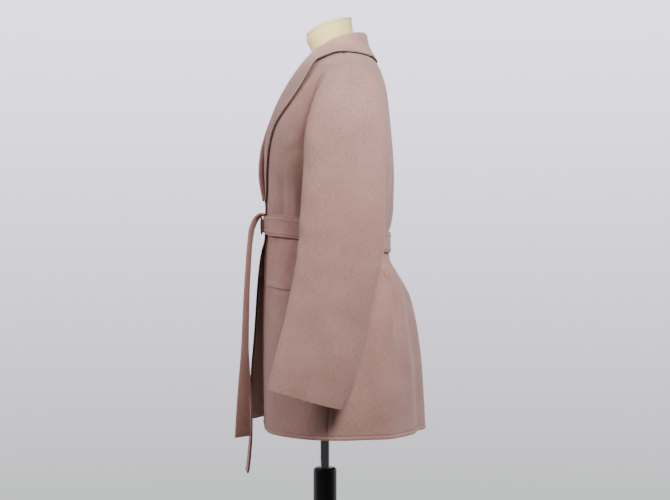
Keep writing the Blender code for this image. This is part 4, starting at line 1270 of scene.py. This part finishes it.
sky = Sky("studio")
sky_way = sky.add("ShaderNodeTexCoord")
sky_depth = sky.add("ShaderNodeSeparateXYZ", {}, {0: sky_way}, output=1)
sky_rise = sky.add("ShaderNodeSeparateXYZ", {}, {0: sky_way}, output=2)
WALL_LOW, WALL_MIDDLE = (0.83, 0.855, 0.86, 1), (1.45, 1.36, 1.62, 1)
WALL_HIGH, DARK_ROOM = (2.26, 2.11, 2.60, 1), (0.045, 0.045, 0.05, 1)
wall = sky.mix(sky.part(sky_rise, -0.17, 0.0), WALL_LOW, WALL_MIDDLE)
wall = sky.mix(sky.part(sky_rise, 0.0, 0.17), wall, WALL_HIGH)
wall_band = sky.part(sky_rise, 0.19, 0.25, 1.0, 0.0) * sky.part(sky_rise, -0.25, -0.19)
sky.feed(color=sky.mix(wall_band * sky.part(sky_depth, 0.0, 0.1), DARK_ROOM, wall))
bpy.context.scene.world = sky.world


def lamp(name, place_at, aim, size, watts, kind="AREA"):
    """A lamp of this size that points from its place to its aim."""
    light = bpy.data.lights.new(name, kind)
    light.energy = watts
    if kind == "AREA":
        light.shape, light.size = "DISK", size
    else:
        light.shadow_soft_size = size
    made = placed(name, light)
    made.location = place_at
    way = np.array(aim) - np.array(place_at)
    made.rotation_euler = (
        math.atan2(math.hypot(way[0], way[1]), -way[2]),
        0.0,
        math.atan2(way[1], way[0]) - math.pi / 2,
    )
    return made


for name, place_at, aim, size, watts in (
    ("near_top", (0.35, -1.0, 1.80), (0.03, -0.1, 1.40), 0.5, 12.0),
    ("front", (-2.0, -0.5, 2.2), (0.0, 0.0, 1.2), 1.0, 28.0),
    ("camera_top", (0.8, -1.8, 2.8), (0.0, 0.0, 1.3), 1.2, 18.0),
    ("rear", (1.6, 1.4, 2.2), (0.0, 0.0, 1.2), 1.2, 12.0),
    ("back_low", (1.5, -0.7, 1.1), (0.1, -0.1, 1.0), 0.6, 1.5),
    ("overhead", (0.2, 0.0, 2.9), (0.0, 0.0, 1.3), 1.0, 1.0),
    ("far_side", (-0.8, 2.6, 1.9), (0.0, 0.0, 1.1), 1.2, 16.0),
):
    lamp(name, place_at, aim, size, watts)

NECK_SPOT_AT, NECK_SPOT_AIM = (-0.5, -1.5, 2.15), (0.0, -0.03, 1.558)
neck_spot = lamp("neck_spot", NECK_SPOT_AT, NECK_SPOT_AIM, 0.1, 230.0, kind="SPOT")
neck_spot.data.spot_size, neck_spot.data.spot_blend = math.radians(8), 1.0

CAMERA_AT, CAMERA_LENS, CAMERA_SENSOR = (0.02, -2.8, 1.10), 75.2, 36.0
lens = bpy.data.cameras.new("photo_camera")
lens.lens, lens.sensor_width = CAMERA_LENS, CAMERA_SENSOR
camera = placed("photo_camera", lens)
camera.location = CAMERA_AT
camera.rotation_euler = (math.radians(90), 0.0, 0.0)
bpy.context.scene.camera = camera
